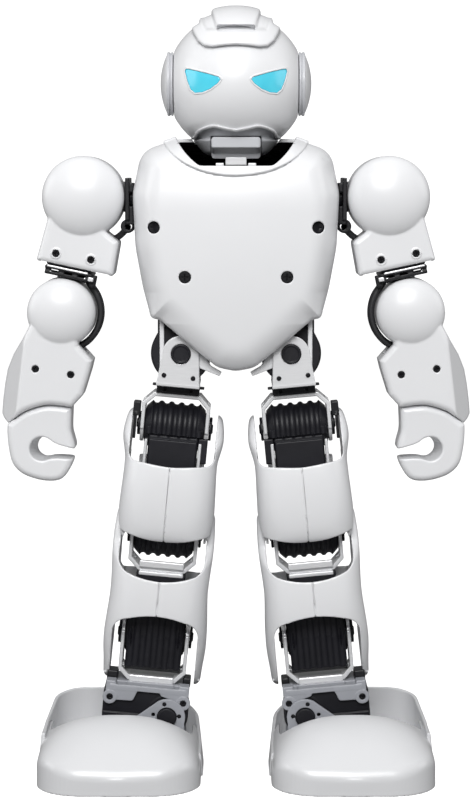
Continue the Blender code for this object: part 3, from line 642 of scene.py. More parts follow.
def back_shell():
    """The rear shell, with a vent panel, a speaker grille, the switch's slot and a charge socket."""
    hollow = shell(torso_form, 2.0)
    below = plane(2, PELVIS_TOP)
    horns = both_sides(rod((-60, 0, 300), (-45, 0, 300), 9.5))
    switch = block((-4.2, 25, 303.8), (4.2, 60, 308.2), 0.4)
    vents = both_sides(union(*(
        block((-27, 30, z - 0.9), (-9, 60, z + 0.9), 0.6) for z in np.linspace(262, 282, 6)), k=0))
    grille = union(*(
        rod((6.5 * ring * math.cos(a) / 2, 25, 293 + 6.5 * ring * math.sin(a) / 2 - 0.5),
            (6.5 * ring * math.cos(a) / 2, 60, 293 + 6.5 * ring * math.sin(a) / 2 - 0.5), 0.75, 0.1)
        for ring in (0, 0.8, 1.6) for a in np.linspace(0, 2 * math.pi, max(int(ring * 7.5), 1), endpoint=False)),
        k=0)
    hatch = field(rounded(((-32, 256, 5), (32, 256, 5), (32, 300, 5), (-32, 300, 5))))
    seam = lambda p: np.maximum(
        np.abs(hatch(p[:, 0], p[:, 2])) - 0.35, np.maximum(25 - p[:, 1], -0.8 - torso_form(p)))
    socket = rod((0, 25, 246), (0, 60, 246), 3.4, 0.2)
    piece = cut(hollow, NAPE_OPENING, below, horns, switch, vents, grille, seam, socket,
                plane(1, 0.2), k=0.4)
    add("back_shell_visual", piece, (-56, -2, 236), (56, 45, 334), 0.8, "white_shell", "torso", BODY,
        ("back_shell",), twin=False, keep=0.35)
    jack = cut(rod((0, 30, 246), (0, 37.6, 246), 3.2, 0.3), rod((0, 33, 246), (0, 60, 246), 2.3, 0.1))
    pin = rod((0, 31, 246), (0, 36.6, 246), 0.8, 0.2)
    add("charge_socket", union(jack, pin, k=0), (-5, 28, 241), (5, 39, 251), 0.3, "black_frame", "torso", BODY,
        twin=False)
    back_seats = [(x, 36.6, z) for x in (-37, 37) for z in (252, 306)]
    screws("back_screws", back_seats, 2.0, "black_frame", "torso", BODY, facing=1, twin=False)


def torso_inside():
    """A black liner that backs both shells, open where they are: painted shade that darkens the inside of the torso."""
    liner = shell(grown(torso_form, -2.3), 1.0)
    front_gap = meet(grown(NECK_OPENING, 1.5), plane(1, 4), k=0)
    tools = (front_gap, NAPE_OPENING, block((-70, -23.5, 190), (70, 60, PELVIS_TOP + 0.6)),
             both_sides(rod((-60, 0, 300), (-40, 0, 300), 9.5)), rod((0, 25, 246), (0, 60, 246), 4, 0.2),
             block((-6, 25, 302), (6, 60, 310)))
    # The black liner is painted shade, darkening what shows of the torso's inside through its openings.
    add("torso_shade_liner", cut(liner, *tools, k=0.3), (-54, -40, 210), (54, 42, 330), 1.1, "black_frame", "torso",
        BODY, twin=False, keep=0.2)
    tab = union(
        block((-5.4, -14.5, 316.3), (5.4, -11.5, 320.4), 0.3), block((-10.4, -15.5, 315.4), (-6.2, -11, 317.5), 0.3),
        block((6.2, -15.5, 315.4), (10.4, -11, 317.5), 0.3), block((-10, -12, 314.6), (10, 6, 315.9), 0.3), k=0.2)
    add("neck_bracket", tab, (-12, -17, 313), (12, 8, 322), 0.4, "bright_aluminium", "torso", BODY, twin=False)


def pelvis():
    """Hip servos with ribbed drums, their hubs, and the struts that hang them from the frame."""
    x, z = HIP.x, HIP.z

    def drum(p):
        spoke = np.hypot(p[:, 0] - x, p[:, 2] - z)
        groove = 0.7 * bands(p[:, 1], 4.4)
        return np.maximum(spoke - 15.6 + groove, np.abs(p[:, 1]) - 17.3)
    case = block((x - 12, -15.5, z), (x + 12, 15.5, PELVIS_TOP - 0.6), 0.8)
    hubs = rod((x, -22.2, z), (x, 22.2, z), 4.8, 0.4)
    add("hip_servo_visual", union(drum, case, hubs), (x - 18, -24, z - 18), (x + 18, 24, 240), 0.6, "servo_case",
        "torso", BODY, ("hip_servo",))
    outer = block((x - 10.9, -19.2, z - 14), (x - 8.6, -17.7, PELVIS_TOP + 2), 0.4)
    inner = slab(
        [(x + 8.5, 221), (x + 11.0, 221), (x + 15.5, 213.8), (x + 21, 210.6), (x + 19.8, 208.4), (x + 9.5, 212.5)],
        -19.2, -17.7)
    add("pelvis_struts", union(outer, inner, k=0), (x - 14, -21, 202), (x + 22, -16, 243), 0.45, "white_shell",
        "torso", BODY)


# ---------------------------------------------------------------- head

HEAD_RADIUS, HEAD_FLAT, EAR_RADIUS, CREST_RADIUS = 36.0, 32.0, 16.4, 39.4
BALL = (0, 0, AXES["head_turn"].z - HEAD_ORIGIN_Z)


def head_ball(p):
    return np.linalg.norm(p - np.array(BALL), axis=1) - HEAD_RADIUS


def head_form(p):
    """A ball cut flat where the ear caps sit."""
    return -smooth_min(-head_ball(p), HEAD_FLAT - np.abs(p[:, 0]), 0.8)


EYE = [(-25.3, 8.6), (-23.6, 8.4), (-16, 6.4), (-8.6, 4.2), (-7.8, 3.1), (-9.2, 1.2), (-13, -1.6), (-17, -3.2),
       (-20.6, -3.4), (-22.8, -1.6), (-24.4, 2.4), (-25.7, 7.4)]
MOUTH_ARCH = swept(((-40, -27.5), (-22.6, -27), (-18.6, -23.2), (-12, -21.0), (-5.5, -22.2), (0, -23.2)), 5)


def face_shell():
    arch = [*MOUTH_ARCH, *((-p.x, p.y) for p in reversed(MOUTH_ARCH[:-1]))]
    mouth = slab([*(tuple(p) for p in arch), (40, -60), (-40, -60)], -50, 0, rim=0)
    eye = both_sides(slab(EYE, -50, -5, rim=0, grow=0.25))
    socket = lambda p: np.maximum(eye(p), -1.3 - head_form(p))
    piece = cut(shell(head_form, 2.0), mouth, plane(1, -0.15, -1), socket, k=0.5)
    add("face_shell_visual", piece, (-33, -37, -32), (33, 2, 40), 0.7, "white_shell", "head", HEAD,
        ("face_shell",), twin=False, keep=0.35)
    above = cut(grown(mouth, 1.5), grown(mouth, 0.15), k=0.1)
    lip = meet(above, lambda p: np.abs(head_form(p) - 0.1) - 0.75, plane(1, -6), plane(2, -29.5, -1), k=0.5)
    add("face_lip", lip, (-27, -38, -31), (27, -4, -18), 0.45, "white_shell", "head", HEAD, twin=False)
    rim_shape = cut(slab(EYE, -50, -5, rim=0, grow=1.0), slab(EYE, -50, -5, rim=0, grow=0.1), k=0.1)
    rim = meet(rim_shape, lambda p: np.abs(head_form(p) + 0.1) - 0.42, k=0.3)
    add("eye_rim", rim, (-28, -38, -6), (-5, -16, 11), 0.35, "white_shell", "head", HEAD)
    lens = meet(slab(EYE, -50, -5, rim=0), lambda p: np.abs(head_form(p) + 0.75) - 0.5, k=0.2)
    add("eye_lens_visual", lens, (-28, -38, -6), (-5, -16, 11), 0.35, "cyan_lens", "head", HEAD, ("eye_lens",))


def rear_head_shell():
    """The back of the head, and the jaw that shows under the face, made pale grey as painted shade."""
    back = cut(shell(head_form, 2.0), plane(1, 0.15), plane(2, -27), k=0.4)
    ports = both_sides(union(*(block((-14, 20, z - 0.7), (-5, 50, z + 0.7), 0.5) for z in (-14, -10.5, -7)), k=0))
    add("rear_head_visual", cut(back, ports), (-33, -2, -30), (33, 38, 40), 0.7, "white_shell", "head", HEAD,
        ("rear_head_shell",), twin=False, keep=0.35)
    sleeve = block((-12.9, -22.8, -45), (12.9, 13.6, -24.9), 0.5)
    bowl = meet(rod((0, 0, -34.6), (0, 0, -24), 15.8, 2.4, end_radius=24.5), plane(2, -26.9), k=1.0)
    cheek = meet(grown(head_form, -1.5), plane(2, -15), k=1.0)
    jaw = cut(union(cheek, bowl, k=3.0), sleeve, grown(head_form, -4.3), k=0.4)
    # The jaw's pale grey finish is painted shade: it is the head's white as it looks in the shadow under the face.
    add("jaw_bowl_painted_shade", jaw, (-34, -36, -36), (34, 36, -12), 0.7, "pale_grey_plastic", "head", HEAD, twin=False)


def ear_cap():
    z = BALL[2]
    ring = rod((-35.4, 0, z), (-32.3, 0, z), EAR_RADIUS, 0.5)
    groove = cut(rod((-34.0, 0, z), (-33.3, 0, z), 18, 0), rod((-40, 0, z), (-30, 0, z), 15.9, 0), k=0)
    add("ear_ring", cut(ring, groove, k=0.2), (-37, -18, z - 18), (-31, 18, z + 18), 0.4, "pale_grey_plastic",
        "head", HEAD)
    cap = meet(ball((-3.2, 0, z), 35.7), rod((-45, 0, z), (-35.0, 0, z), 15.2, 0.3), k=0.8)
    add("ear_cap_visual", cap, (-40, -18, z - 18), (-33, 18, z + 18), 0.5, "white_shell", "head", HEAD, ("ear_cap",))


def crest_visor():
    form = ball(BALL, CREST_RADIUS)
    low = [(0, 20.4), (6, 20.0), (12, 19.3), (16, 19.9), (19.4, 22.6), (21.6, 26.6), (22.7, 29.2)]
    side = [(22.2, 30.4), (19.3, 32.2), (18.9, 33), (18.8, 36.6), (17.6, 37.8), (13.6, 38.6), (11.6, 60)]
    outline = [*low, *side, *((-x, z) for x, z in reversed(side)), *((-x, z) for x, z in reversed(low[1:]))]
    plate = meet(form, slab(outline, -50, 17, rim=0.8), k=2.0)
    valley = both_sides(slab([(-10.4, 29), (-14.6, 29), (-17.2, 35.4), (-16.2, 50), (-13.6, 50)], -50, 14, rim=1.5))
    dip = meet(valley, lambda p: -(form(p) + 1.5), k=1.5)
    hood_outline = [(-9.4, 29.2), (9.4, 29.2), (12.8, 39), (12.4, 50), (-12.4, 50), (-12.8, 39)]
    hood = meet(lambda p: form(p) - 0.8, slab(hood_outline, -50, 14, rim=1.2), k=2.0)
    slot = block((-9.6, -60, 27.2), (9.6, -22.6, 30.6), 1.2)
    top = plane(2, 42.0)
    piece = cut(meet(union(cut(plate, dip, k=2.5), hood, k=1.2), top, k=0.3), slot, grown(head_form, 0.2), k=0.6)
    add("crest_visor_visual", piece, (-26, -38, 16), (26, 20, 43.5), 0.55, "white_shell", "head", HEAD,
        ("crest_visor",), twin=False)


def neck_sleeve():
    foot, top = 319.8 - HEAD_ORIGIN_Z, 330.6 - HEAD_ORIGIN_Z
    side = [(-22.4, top), (13, top), (13, foot), (-14.0, foot), (-15.0, foot + 2.4), (-22.4, top - 5.4)]
    piece = cut(slab(side, -12.6, 12.6, "x", rim=1.6), rod((0, 0, -50), (0, 0, top - 2.5), 4.9, 0.2))
    add("neck_sleeve_visual", piece, (-14, -26, -38), (14, 15, -21.5), 0.5, "pale_grey_plastic", "head", HEAD,
        ("neck_sleeve",), twin=False)


# ---------------------------------------------------------------- arms


def dome(radius, rim_depth, depth, back):
    """A round housing on a y axis, with a domed front; its values are scaled down to stay below distance."""
    def f(p):
        spoke = np.hypot(p[:, 0], p[:, 2]) / radius
        ahead = np.maximum(-p[:, 1] - rim_depth, 0) / depth
        return -smooth_min(-(np.hypot(spoke, ahead) - 1) * radius * 0.6, back - p[:, 1], 0.8)
    return f


def shoulder_bracket():
    """A black plate on the shoulder horn, stiffening ribs, and the arm behind the roll servo."""
    x = AXES["right_shoulder_roll"].x
    web_low, web_high = -57.0 - x, -54.9 - x
    web = block((web_low, -11.8, -12), (web_high, 19, 10), 0.4)
    lugs = [block((web_low, -11, z), (web_high + 2.3, 5, z + h), 0.5) for z, h in ((2.4, 5.0), (-14.0, 9.4))]
    arm_plate = slab([(8, -8), *arc((0, 0), 8, 250, 110), (web_high - 0.5, 8), (web_high - 0.5, -8)], 17, 19)
    knuckle = cut(
        rod((22.6, -7, -15), (22.6, 5, -15), 3.6, 0.5), rod((23.2, -10, -15), (23.2, 8, -15), 1.7, 0.1), k=0.3)
    hole = rod((web_low - 3, 0, 0), (web_high + 4, 0, 0), 2.6, 0.1)
    piece = cut(union(web, *lugs, arm_plate, knuckle), hole)
    add("shoulder_bracket_visual", piece, (-10, -14, -20), (26.5, 21, 12), 0.5, "black_bracket", "shoulder",
        SHOULDER, ("shoulder_bracket",))
    hub = cut(rod((web_high + 0.2, 0, 0), (web_high + 1.6, 0, 0), 2.9, 0.3), rod((20, 0, 0), (27, 0, 0), 1.0, 0.1))
    add("shoulder_hub", hub, (20, -6, -6), (27, 6, 6), 0.35, "bright_aluminium", "shoulder", SHOULDER)
    cap = cut(rod((0, 18.8, 0), (0, 20.4, 0), 5.4, 0.4), *(
        rod((3.4 * math.cos(a), 20.0, 3.4 * math.sin(a)), (3.4 * math.cos(a), 22, 3.4 * math.sin(a)), 0.7, 0.1)
        for a in np.linspace(0, 2 * math.pi, 4, endpoint=False)))
    add("shoulder_hub_cap", cap, (-7, 17.5, -7), (7, 22, 7), 0.35, "bright_aluminium", "shoulder", SHOULDER)


def upper_arm():
    outline = rounded(((-15.0, -6, 0), (-17.0, -36.7, 1.5), (23.6, -36.7, 1.5), (23.0, -18.6, 2.5), (15.2, -14.8, 4),
                       (10, -6, 0)))
    body = slab(outline, -14.8, 15.2, rim=3.0)
    form = union(body, dome(21.2, 10.5, 10.7, 15.2), k=0.5)
    inner = union(dome(19.4, 10.0, 9.1, 20), block((-15.2, -13.0, -45), (21.8, 20, -20), 1.5),
                  block((-12, -12, -60), (12, 20, 0), 1), k=0.2)
    holes = [rod((s, -30, z), (s, -8, z), 1.9, 0.1) for s, z in ((-7.6, -31), (10.6, -30.5))]
    pads = [rod((s, -15.2, z), (s, -14.3, z), 2.7, 0.3) for s, z in ((-7.6, -31), (10.6, -30.5))]
    piece = cut(union(form, *pads, k=0.5), inner, plane(1, 15.2, -1), plane(2, -36.7), *holes, k=0.4)
    add("upper_arm_cover_visual", piece, (-23, -23, -39), (26, 17, 23), 0.65, "white_shell", "upper_arm", ARM,
        ("upper_arm_cover",))
    screws("upper_arm_screws", [(-7.6, -14.0, -31), (10.6, -14.0, -30.5)], 1.75, "black_frame", "upper_arm", ARM)

    def drum(p):
        spoke = np.hypot(p[:, 0], p[:, 2])
        return np.maximum(spoke - 12.3 + 0.6 * bands(p[:, 1], 4.0, 1.0), np.abs(p[:, 1]) - 13.6)
    servo = union(drum, block((-11.5, -12.8, -37.2), (11.5, 12.8, 0), 0.8), rod((0, 0, 0), (0, 16.6, 0), 5, 0.3))
    add("upper_arm_servo_visual", servo, (-14, -16, -39), (14, 18, 14), 0.6, "servo_case", "upper_arm", ARM,
        ("upper_arm_servo",))


def elbow_yoke():
    """Two flanged plates under the upper arm, and the arm that runs down behind the elbow."""
    x, z = ELBOW.x, ELBOW.z
    top = block((-12, -12.5, -39.3), (13, 16.6, -37.8), 0.3)
    lower = block((-11.5, -12.0, -42.2), (12.5, 4, -40.6), 0.3)
    posts = [block((s - 1.4, -12.0, -42.0), (s + 1.4, -6, -38), 0.3) for s in (-10.2, -3, 4, 11)]
    hook = block((12.0, -9.5, -44.6), (15.2, -3, -38.4), 0.6)
    arm_plate = slab([*arc((x, z), 7.5, 180, 360), (x + 7.5, -38), (x - 7.5, -38)], 15.0, 16.6)
    holes = [rod((s, -5, -50), (s, -5, -36), 1.0, 0.1) for s in (-7, 7.5)]
    piece = cut(union(top, lower, *posts, hook, arm_plate), *holes, rod((x, 10, z), (x, 20, z), 2.2, 0.1))
    add("elbow_yoke_visual", piece, (-14, -14, z - 9), (17, 18.5, -36), 0.5, "black_bracket", "upper_arm", ARM,
        ("elbow_yoke",))
    rail = union(block((-11, -13.2, -38.4), (10.5, -12.3, -37.4), 0.3), block((11, -12.8, -41.6), (13.8, -9, -39.4)))
    add("elbow_rail", rail, (-13, -15, -43), (15, -8, -36.5), 0.4, "bright_aluminium", "upper_arm", ARM)
    screws("yoke_screws", [(-9, -12.0, -41.2), (9.5, -12.0, -41.2)], 0.9, "bright_aluminium", "upper_arm", ARM,
           step=0.25)


SEAM = ((-17.5, -62.2), (-12.8, -56.8), (-8.1, -52.8), (0.0, -48.7), (6.7, -47.6), (14.0, -47.3))


def forearm():
    seam = [tuple(p) for p in swept(SEAM, 3)]
    outline = [(9, -6), (12.0, -14.8), (20.5, -21.4), (20.2, -27), (18.6, -40.0), *reversed(seam),
               (-20.4, -60.6), (-22.2, -58.6), (-23.0, -51), (-23.4, -43), (-23.3, -35.1), (-21.3, -26.5),
               (-17.6, -17.5), (-14.5, -8)]
    body = slab(outline, -13.4, 13.0, rim=3.2)
    facet = lambda p: (-p[:, 0] - 19.6 + 0.55 * (-p[:, 1] - 4) - 0.06 * (p[:, 2] + 42)) * 0.87
    notch = block((9.8, -5.0, -20.5), (17.0, 5.0, -9), 1.0)
    form = union(cut(meet(body, facet, k=1.2), notch), dome(17.8, 9.2, 8.6, 13.0), k=0.5)
    inner = union(dome(16.2, 8.8, 7.0, 20), block((-10.5, -11.4, -44), (9.2, 20, -4), 1.5), k=0.2)
    holes = [rod((s, -30, z), (s, -8, z), 1.9, 0.1) for s, z in ((-7.9, -30.9), (10.6, -30.5))]
    add("forearm_cover_visual", cut(form, inner, *holes, k=0.4), (-27, -20, -65), (24, 15, 20), 0.65, "white_shell",
        "forearm", FOREARM, ("forearm_cover",))
    screws("forearm_screws", [(-7.9, -12.7, -30.9), (10.6, -12.7, -30.5)], 1.75, "black_frame", "forearm", FOREARM)

    def drum(p):
        spoke = np.hypot(p[:, 0], p[:, 2])
        return np.maximum(spoke - 11.2 + 0.6 * bands(p[:, 1], 4.0, 1.0), np.abs(p[:, 1]) - 10.6)
    servo = union(drum, block((-9, -9.8, -36), (9, 9.8, 0), 0.8), rod((0, 0, 0), (0, 14.6, 0), 5, 0.3))
    add("forearm_servo_visual", servo, (-13, -13, -38), (13, 16, 13), 0.6, "servo_case", "forearm", FOREARM,
        ("forearm_servo",))
    cap = cut(rod((0, 16.4, 0), (0, 17.8, 0), 4.6, 0.4), rod((0, 17.2, 0), (0, 19, 0), 1.2, 0.1))
    add("elbow_hub_cap", cap, (-6, 15.5, -6), (6, 19, 6), 0.35, "bright_aluminium", "upper_arm", FOREARM)


def hand():
    """A hook with soft edges, a round grip and a slot into it."""
    seam = [(s, z - 0.3) for s, z in (tuple(p) for p in swept(SEAM, 3))]
    back = swept(((14.9, -54.4), (16.0, -60), (18.9, -66.4), (19.5, -70.5), (19.3, -76), (17.8, -81.5), (14.8, -85.8),
                  (9.5, -87.7), (2.5, -88), (-5.5, -86.4), (-11.5, -81.8), (-15.2, -73), (-17.0, -66)), 4)
    body = slab([*seam, *(tuple(p) for p in back)], -10.5, 10.5, rim=3.4)
    grip = rod((2.0, -14, -71.6), (4.6, 14, -71.7), 6.5, 0, end_radius=5.0)
    mouth = slab([(4, -66.4), (11, -68.0), (26, -69.4), (26, -73.2), (12, -74.9), (4, -76.6)], -20, 20, rim=0)
    piece = cut(body, union(grip, mouth, k=1.2), k=1.1)
    add("hand_visual", piece, (-20, -13, -90), (22, 13, -46), 0.55, "white_shell", "forearm", FOREARM, ("hand",))


def lead_bundle(name, node, line, start, end, place, radius=1.15):
    """Three leads side by side, bent across a joint."""
    line = swept(line, 5)
    across = [Vector((0, offset * 1.5 * radius, 0)) for offset in (-1, 0, 1)]
    bundle = union(*(tube([p + shift for p in line], radius) for shift in across), k=0.5)
    corners = np.array([tuple(p) for p in line])
    made = add(name, bundle, corners.min(axis=0) - 4, corners.max(axis=0) + 4, 0.45, "black_cable", None, place,
               (node,), keep=0.5)
    for obj, side in zip(made, (1, -1)):
        first, last = (place @ Vector(start)) * MM, (place @ Vector(end)) * MM
        for point in (first, last):
            point.x *= side
        tuple(first)
        tuple(last)
        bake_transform(obj)


def arm_leads():
    reach = 20.1
    points = [(x, 0, z) for x, z in arc((0, 0), reach, 50, -52, 8)]
    line = [(10.0, -1, 18.6), *points, (10.6, 0, -18.0)]
    lead_bundle("elbow_cable_visual", "elbow_cable", line,
                (reach, 0, 14), (reach, 0, -14), FOREARM, 1.75)
    line = [(22.4, -1, -15.5), (20.2, 0, -18.2), (17.4, 2, -20.6), (13.5, 6, -22.6)]
    lead_bundle("shoulder_cable_visual", "shoulder_cable", line,
                (21, 0, -17), (15.5, 4, -22), SHOULDER, 1.7)


# ---------------------------------------------------------------- legs


def hip_bracket():
    outline = [*arc((0, 0), 9.4, 0, 180, 16), (-11.2, -16.3), (11.2, -16.3)]
    front = slab(outline, -21.3, -19.7, rim=0.35)
    rear = slab(outline, 19.7, 21.3, rim=0.35)
    floor = block((-11.2, -21.3, -17.3), (11.2, 21.3, -15.9), 0.5)
    hubs = rod((0, -30, 0), (0, 30, 0), 5.1, 0)
    piece = cut(union(front, rear, floor), hubs, k=0.3)
    add("hip_roll_bracket_visual", piece, (-13, -23, -19), (13, 23, 11), 0.5, "bright_aluminium", "hip", LEG,
        ("hip_roll_bracket",))
    pad = union(block((-11, -11.8, -21.7), (11.2, 11.8, -17.5), 0.4),
                block((-13.4, -8, -18.6), (13.6, -3, -17.4), 0.3), k=0.2)
    pad = cut(pad, rod((-6.5, -20, -19.6), (-6.5, -10, -19.6), 0.8, 0), rod((7, -20, -19.6), (7, -10, -19.6), 0.8, 0))
    add("hip_spacer", pad, (-15, -14, -23), (15, 14, -16), 0.4, "servo_case", "hip", LEG)
    screws("hip_bracket_screws", [(-7.6, -21.9, -11.6), (7.4, -21.9, -11.9)], 1.25, "black_frame", "hip", LEG)
    hub = cut(rod((0, -22.7, 0), (0, -21.0, 0), 4.9, 0.3), rod((0, -24, 0), (0, -22.3, 0), 3.9, 0.2))
    add("hip_hub_cap", hub, (-6, -24, -6), (6, -19.5, 6), 0.35, "servo_case", "torso", LEG)


def strap(axis_drop, near, far, towards):
    """A chamfered U of sheet; towards is 1 when its plate lies below the axis."""
    inner, outer, chamfer = 15.9, 17.75, 5.5
    sheet = outer - inner
    points = [(-outer, -2), (-outer, far - chamfer), (chamfer - outer, far), (outer - chamfer, far),
              (outer, far - chamfer), (outer, -2), (inner, -2), (inner, near - chamfer + sheet / 2),
              (inner - chamfer + sheet / 2, near), (chamfer - inner - sheet / 2, near),
              (-inner, near - chamfer + sheet / 2), (-inner, -2)]
    outline = [(s, -axis_drop - towards * z) for s, z in points]
    band = slab(outline, -10, 10, rim=0.35)
    eyes = both_sides(rod((-outer, 0, -axis_drop), (-inner, 0, -axis_drop), 9.4, 0.35))
    windows = both_sides(block(
        (-outer - 3, -4.5, min(-axis_drop - towards * near * 0.5, -axis_drop - towards * near * 0.9)),
        (-inner + 3, 4.5, max(-axis_drop - towards * near * 0.5, -axis_drop - towards * near * 0.9)), 0.8))
    return cut(union(band, eyes), windows, k=0.3)


def hub_discs(name, axis_drop, body):
    """The round horn on the outer side of each bracket arm, with its ring of screws."""
    disc = rod((-19.4, 0, -axis_drop), (-17.9, 0, -axis_drop), 6.2, 0.4)
    boss = rod((-20.0, 0, -axis_drop), (-19, 0, -axis_drop), 2.4, 0.4)
    pits = [
        rod((-21, 4.6 * math.cos(a), 4.6 * math.sin(a) - axis_drop),
            (-19.1, 4.6 * math.cos(a), 4.6 * math.sin(a) - axis_drop), 0.8, 0.1)
        for a in np.linspace(0, 2 * math.pi, 6, endpoint=False)]
    shape = both_sides(cut(union(disc, boss), *pits, k=0.2))
    add(name, shape, (-22, -8, -axis_drop - 8), (22, 8, -axis_drop + 8), 0.45, "servo_case", body, LEG)


def ribbed_servo(name, axis_drop, case_low, case_high, ribs_to, node, body, pitch, plate=None, foot=0.0):
    """A drum with raised ribs round it, running on as a ribbed case, with a plain front plate."""
    radius, half, chamfer = 12.6, 15.5, 3.2

    def drum(p):
        spoke = np.hypot(p[:, 1], p[:, 2] + axis_drop)
        side = np.abs(p[:, 0])
        rib = 1.3 * bands(p[:, 0], pitch)
        limit = np.where(side < 12.2, radius - rib, radius)
        body_part = np.maximum(spoke - limit, side - half)
        corner = (side - half + spoke - radius + chamfer) / math.sqrt(2)
        return np.maximum(body_part, corner)

    case = block((-12.9, -11.6, case_low), (12.9, 11.6, case_high), 0.8)
    low, high = sorted((-axis_drop, ribs_to))
    low = low - foot

    def ribbed_case(p):
        rib = 1.3 * bands(p[:, 0], pitch)
        q = np.abs(p[:, 0]) - 14.6
        depth = np.abs(p[:, 1]) - radius + rib
        swing = np.hypot(p[:, 1], p[:, 2] + axis_drop) - 19.8 if foot else -1.0
        return np.maximum(np.maximum(q, depth), np.maximum(np.maximum(low - p[:, 2], p[:, 2] - high), swing))
    shapes = [drum, case, ribbed_case]
    if plate:
        shapes.append(block((-12.4, -13.2, plate[0]), (12.4, -10, plate[1]), 0.5))
    ends = both_sides(rod((-15.8, 0, -axis_drop), (-14, 0, -axis_drop), 8.2, 0.3))
    shape = union(*shapes, ends, k=0.3)
    bottom = min(case_low, -axis_drop - max(radius, foot)) - 1.5
    top = max(case_high, -axis_drop + radius) + 1.5
    add(name, shape, (-17, -15, bottom), (17, 15, top), 0.5, "servo_case", body, LEG, (node,), keep=0.35)


def cover_form(half_width, side_outline, crown, blend=4.0):
    """A closed form round the leg: half_width(drop) wide, and the side outline's depth."""
    front, back, corner = -28.0, 20.5, 14.0
    side = field(side_outline)

    def f(p):
        s, y, z = p.T
        half = half_width(-z)
        bulge = 1.6 * (1 - np.clip(np.abs(s) / 24, 0, 1) ** 2) - 3.0 * ((z + crown) / 21) ** 2
        qx = np.abs(s) - half + corner
        qy = np.where(y < (front + back) / 2, front - bulge - y, y - back) + corner
        around = np.hypot(np.maximum(qx, 0), np.maximum(qy, 0)) + np.minimum(np.maximum(qx, qy), 0) - corner
        return -smooth_min(-around, -side(y, z), blend)
    return f


def side_outline(corners, steps=10):
    return rounded([(y, -d, radius) for y, d, radius in corners], steps)


def eased(stops):
    drops, widths = zip(*stops)

    def f(value):
        t = np.clip(np.searchsorted(drops, value) - 1, 0, len(drops) - 2)
        d, w = np.array(drops, float), np.array(widths, float)
        part = np.clip((value - d[t]) / (d[t + 1] - d[t]), 0, 1)
        part = part * part * (3 - 2 * part)
        return w[t] + (w[t + 1] - w[t]) * part
    return f


def window(corners, low, high, steps=10):
    return slab(rounded([(s, -d, radius) for s, d, radius in corners], steps), low, high, rim=0)


def seam_groove(form, half=0.22, depth=0.7):
    """A fine line down the middle of the front."""
    return lambda p: np.maximum(np.maximum(np.abs(p[:, 0]) - half, -depth - form(p)), p[:, 1] + 15)


def thigh():
    outline = side_outline((
        (-30, 55, 4), (-19, 45, 6), (-9, 32.0, 7), (9, 32.0, 7), (22, 50, 5), (22, 80.2, 0), (4, 80.2, 2),
        (-13, 84.5, 6), (-14.9, 98.5, 1), (-30, 98.5, 9)))
    width = eased(((28, 24.0), (44, 26.2), (58, 24.0), (88, 25.0), (100, 24.4)))
    form = cover_form(width, outline, 72)
    inner = 22.0
    top_front = window(((-inner, 20, 0), (inner, 20, 0), (inner, 56.2, 4), (0, 58.4, 40), (-inner, 56.2, 4)), -40, 0)
    top_rear = window(((-inner, 20, 0), (inner, 20, 0), (inner, 58, 4), (-inner, 58, 4)), 0, 40)
    hollow = lambda p: form(p) + 1.9
    through = slab(rounded(((-21.9, -23, 13), (21.9, -23, 13), (21.9, 18, 5), (-21.9, 18, 5))), -110, -20, "z", 0)
    bottom = window(((-30, 92.2, 0), (0, 99.4, 45), (30, 92.2, 0), (30, 110, 0), (-30, 110, 0)), -40, -16)
    piece = cut(form, hollow, top_front, top_rear, through, bottom, seam_groove(form), k=0.6)
    add("thigh_cover_visual", piece, (-29, -31, -101), (29, 23, -30), 0.75, "white_shell", "thigh", LEG,
        ("thigh_cover",), keep=0.35)


def shin():
    outline = side_outline((
        (-12.8, 83.6, 12), (12.8, 83.6, 12), (13.0, 106, 5), (22, 117, 4), (22, 142, 6), (9.5, 175.0, 8),
        (-8.5, 175.0, 8), (-20, 152, 8), (-30, 143.5, 3), (-30, 111, 4), (-13.0, 101, 5)))
    width = eased(((82, 25.6), (100, 26.4), (124, 25.4), (152, 27.0), (176, 25.6)))
    form = cover_form(width, outline, 124)
    inner = 22.3
    top_front = window(((-inner, 75, 0), (inner, 75, 0), (inner, 112.6, 8), (0, 120.8, 45), (-inner, 112.6, 8)), -40, 0)
    top_rear = window(((-inner, 75, 0), (inner, 75, 0), (inner, 119, 4), (-inner, 119, 4)), 0, 40)
    bottom = window(((-inner, 190, 0), (-inner, 140.4, 9), (0, 134.6, 45), (inner, 140.4, 9), (inner, 190, 0)), -40, 40)
    hollow = lambda p: form(p) + 1.9
    through = slab(rounded(((-22.1, -23, 13), (22.1, -23, 13), (22.1, 18, 5), (-22.1, 18, 5))), -180, -80, "z", 0)
    piece = cut(form, hollow, top_front, top_rear, bottom, through, seam_groove(form), k=0.6)
    add("shin_cover_visual", piece, (-30, -31, -177), (30, 23, -82), 0.75, "white_shell", "shin", LEG,
        ("shin_cover",), keep=0.35)


def leg_brackets():
    hip_near, hip_far = HIP_PITCH - 24.0, HIP_PITCH - 21.8
    add("hip_pitch_bracket_visual", strap(HIP_PITCH, hip_near, hip_far, -1), (-19, -12, -HIP_PITCH - 11),
        (19, 12, -20), 0.5, "bright_aluminium", "hip", LEG, ("hip_pitch_bracket",))
    knee = strap(KNEE, 17.0, 19.2, 1)
    fold = block((-11.6, -11.8, -KNEE - 21.4), (11.6, -6, -KNEE - 19.4), 0.4)
    lip = block((-11.6, -11.9, -KNEE - 17.2), (11.6, -10.2, -KNEE - 13.6), 0.4)
    add("knee_bracket_visual", union(knee, fold, lip), (-19, -13, -KNEE - 23), (19, 13, -KNEE + 11), 0.5,
        "bright_aluminium", "shin", LEG, ("knee_bracket",))
    hub_discs("hip_pitch_discs", HIP_PITCH, "hip")
    hub_discs("knee_discs", KNEE, "shin")
    hub_discs("ankle_discs", ANKLE, "ankle")


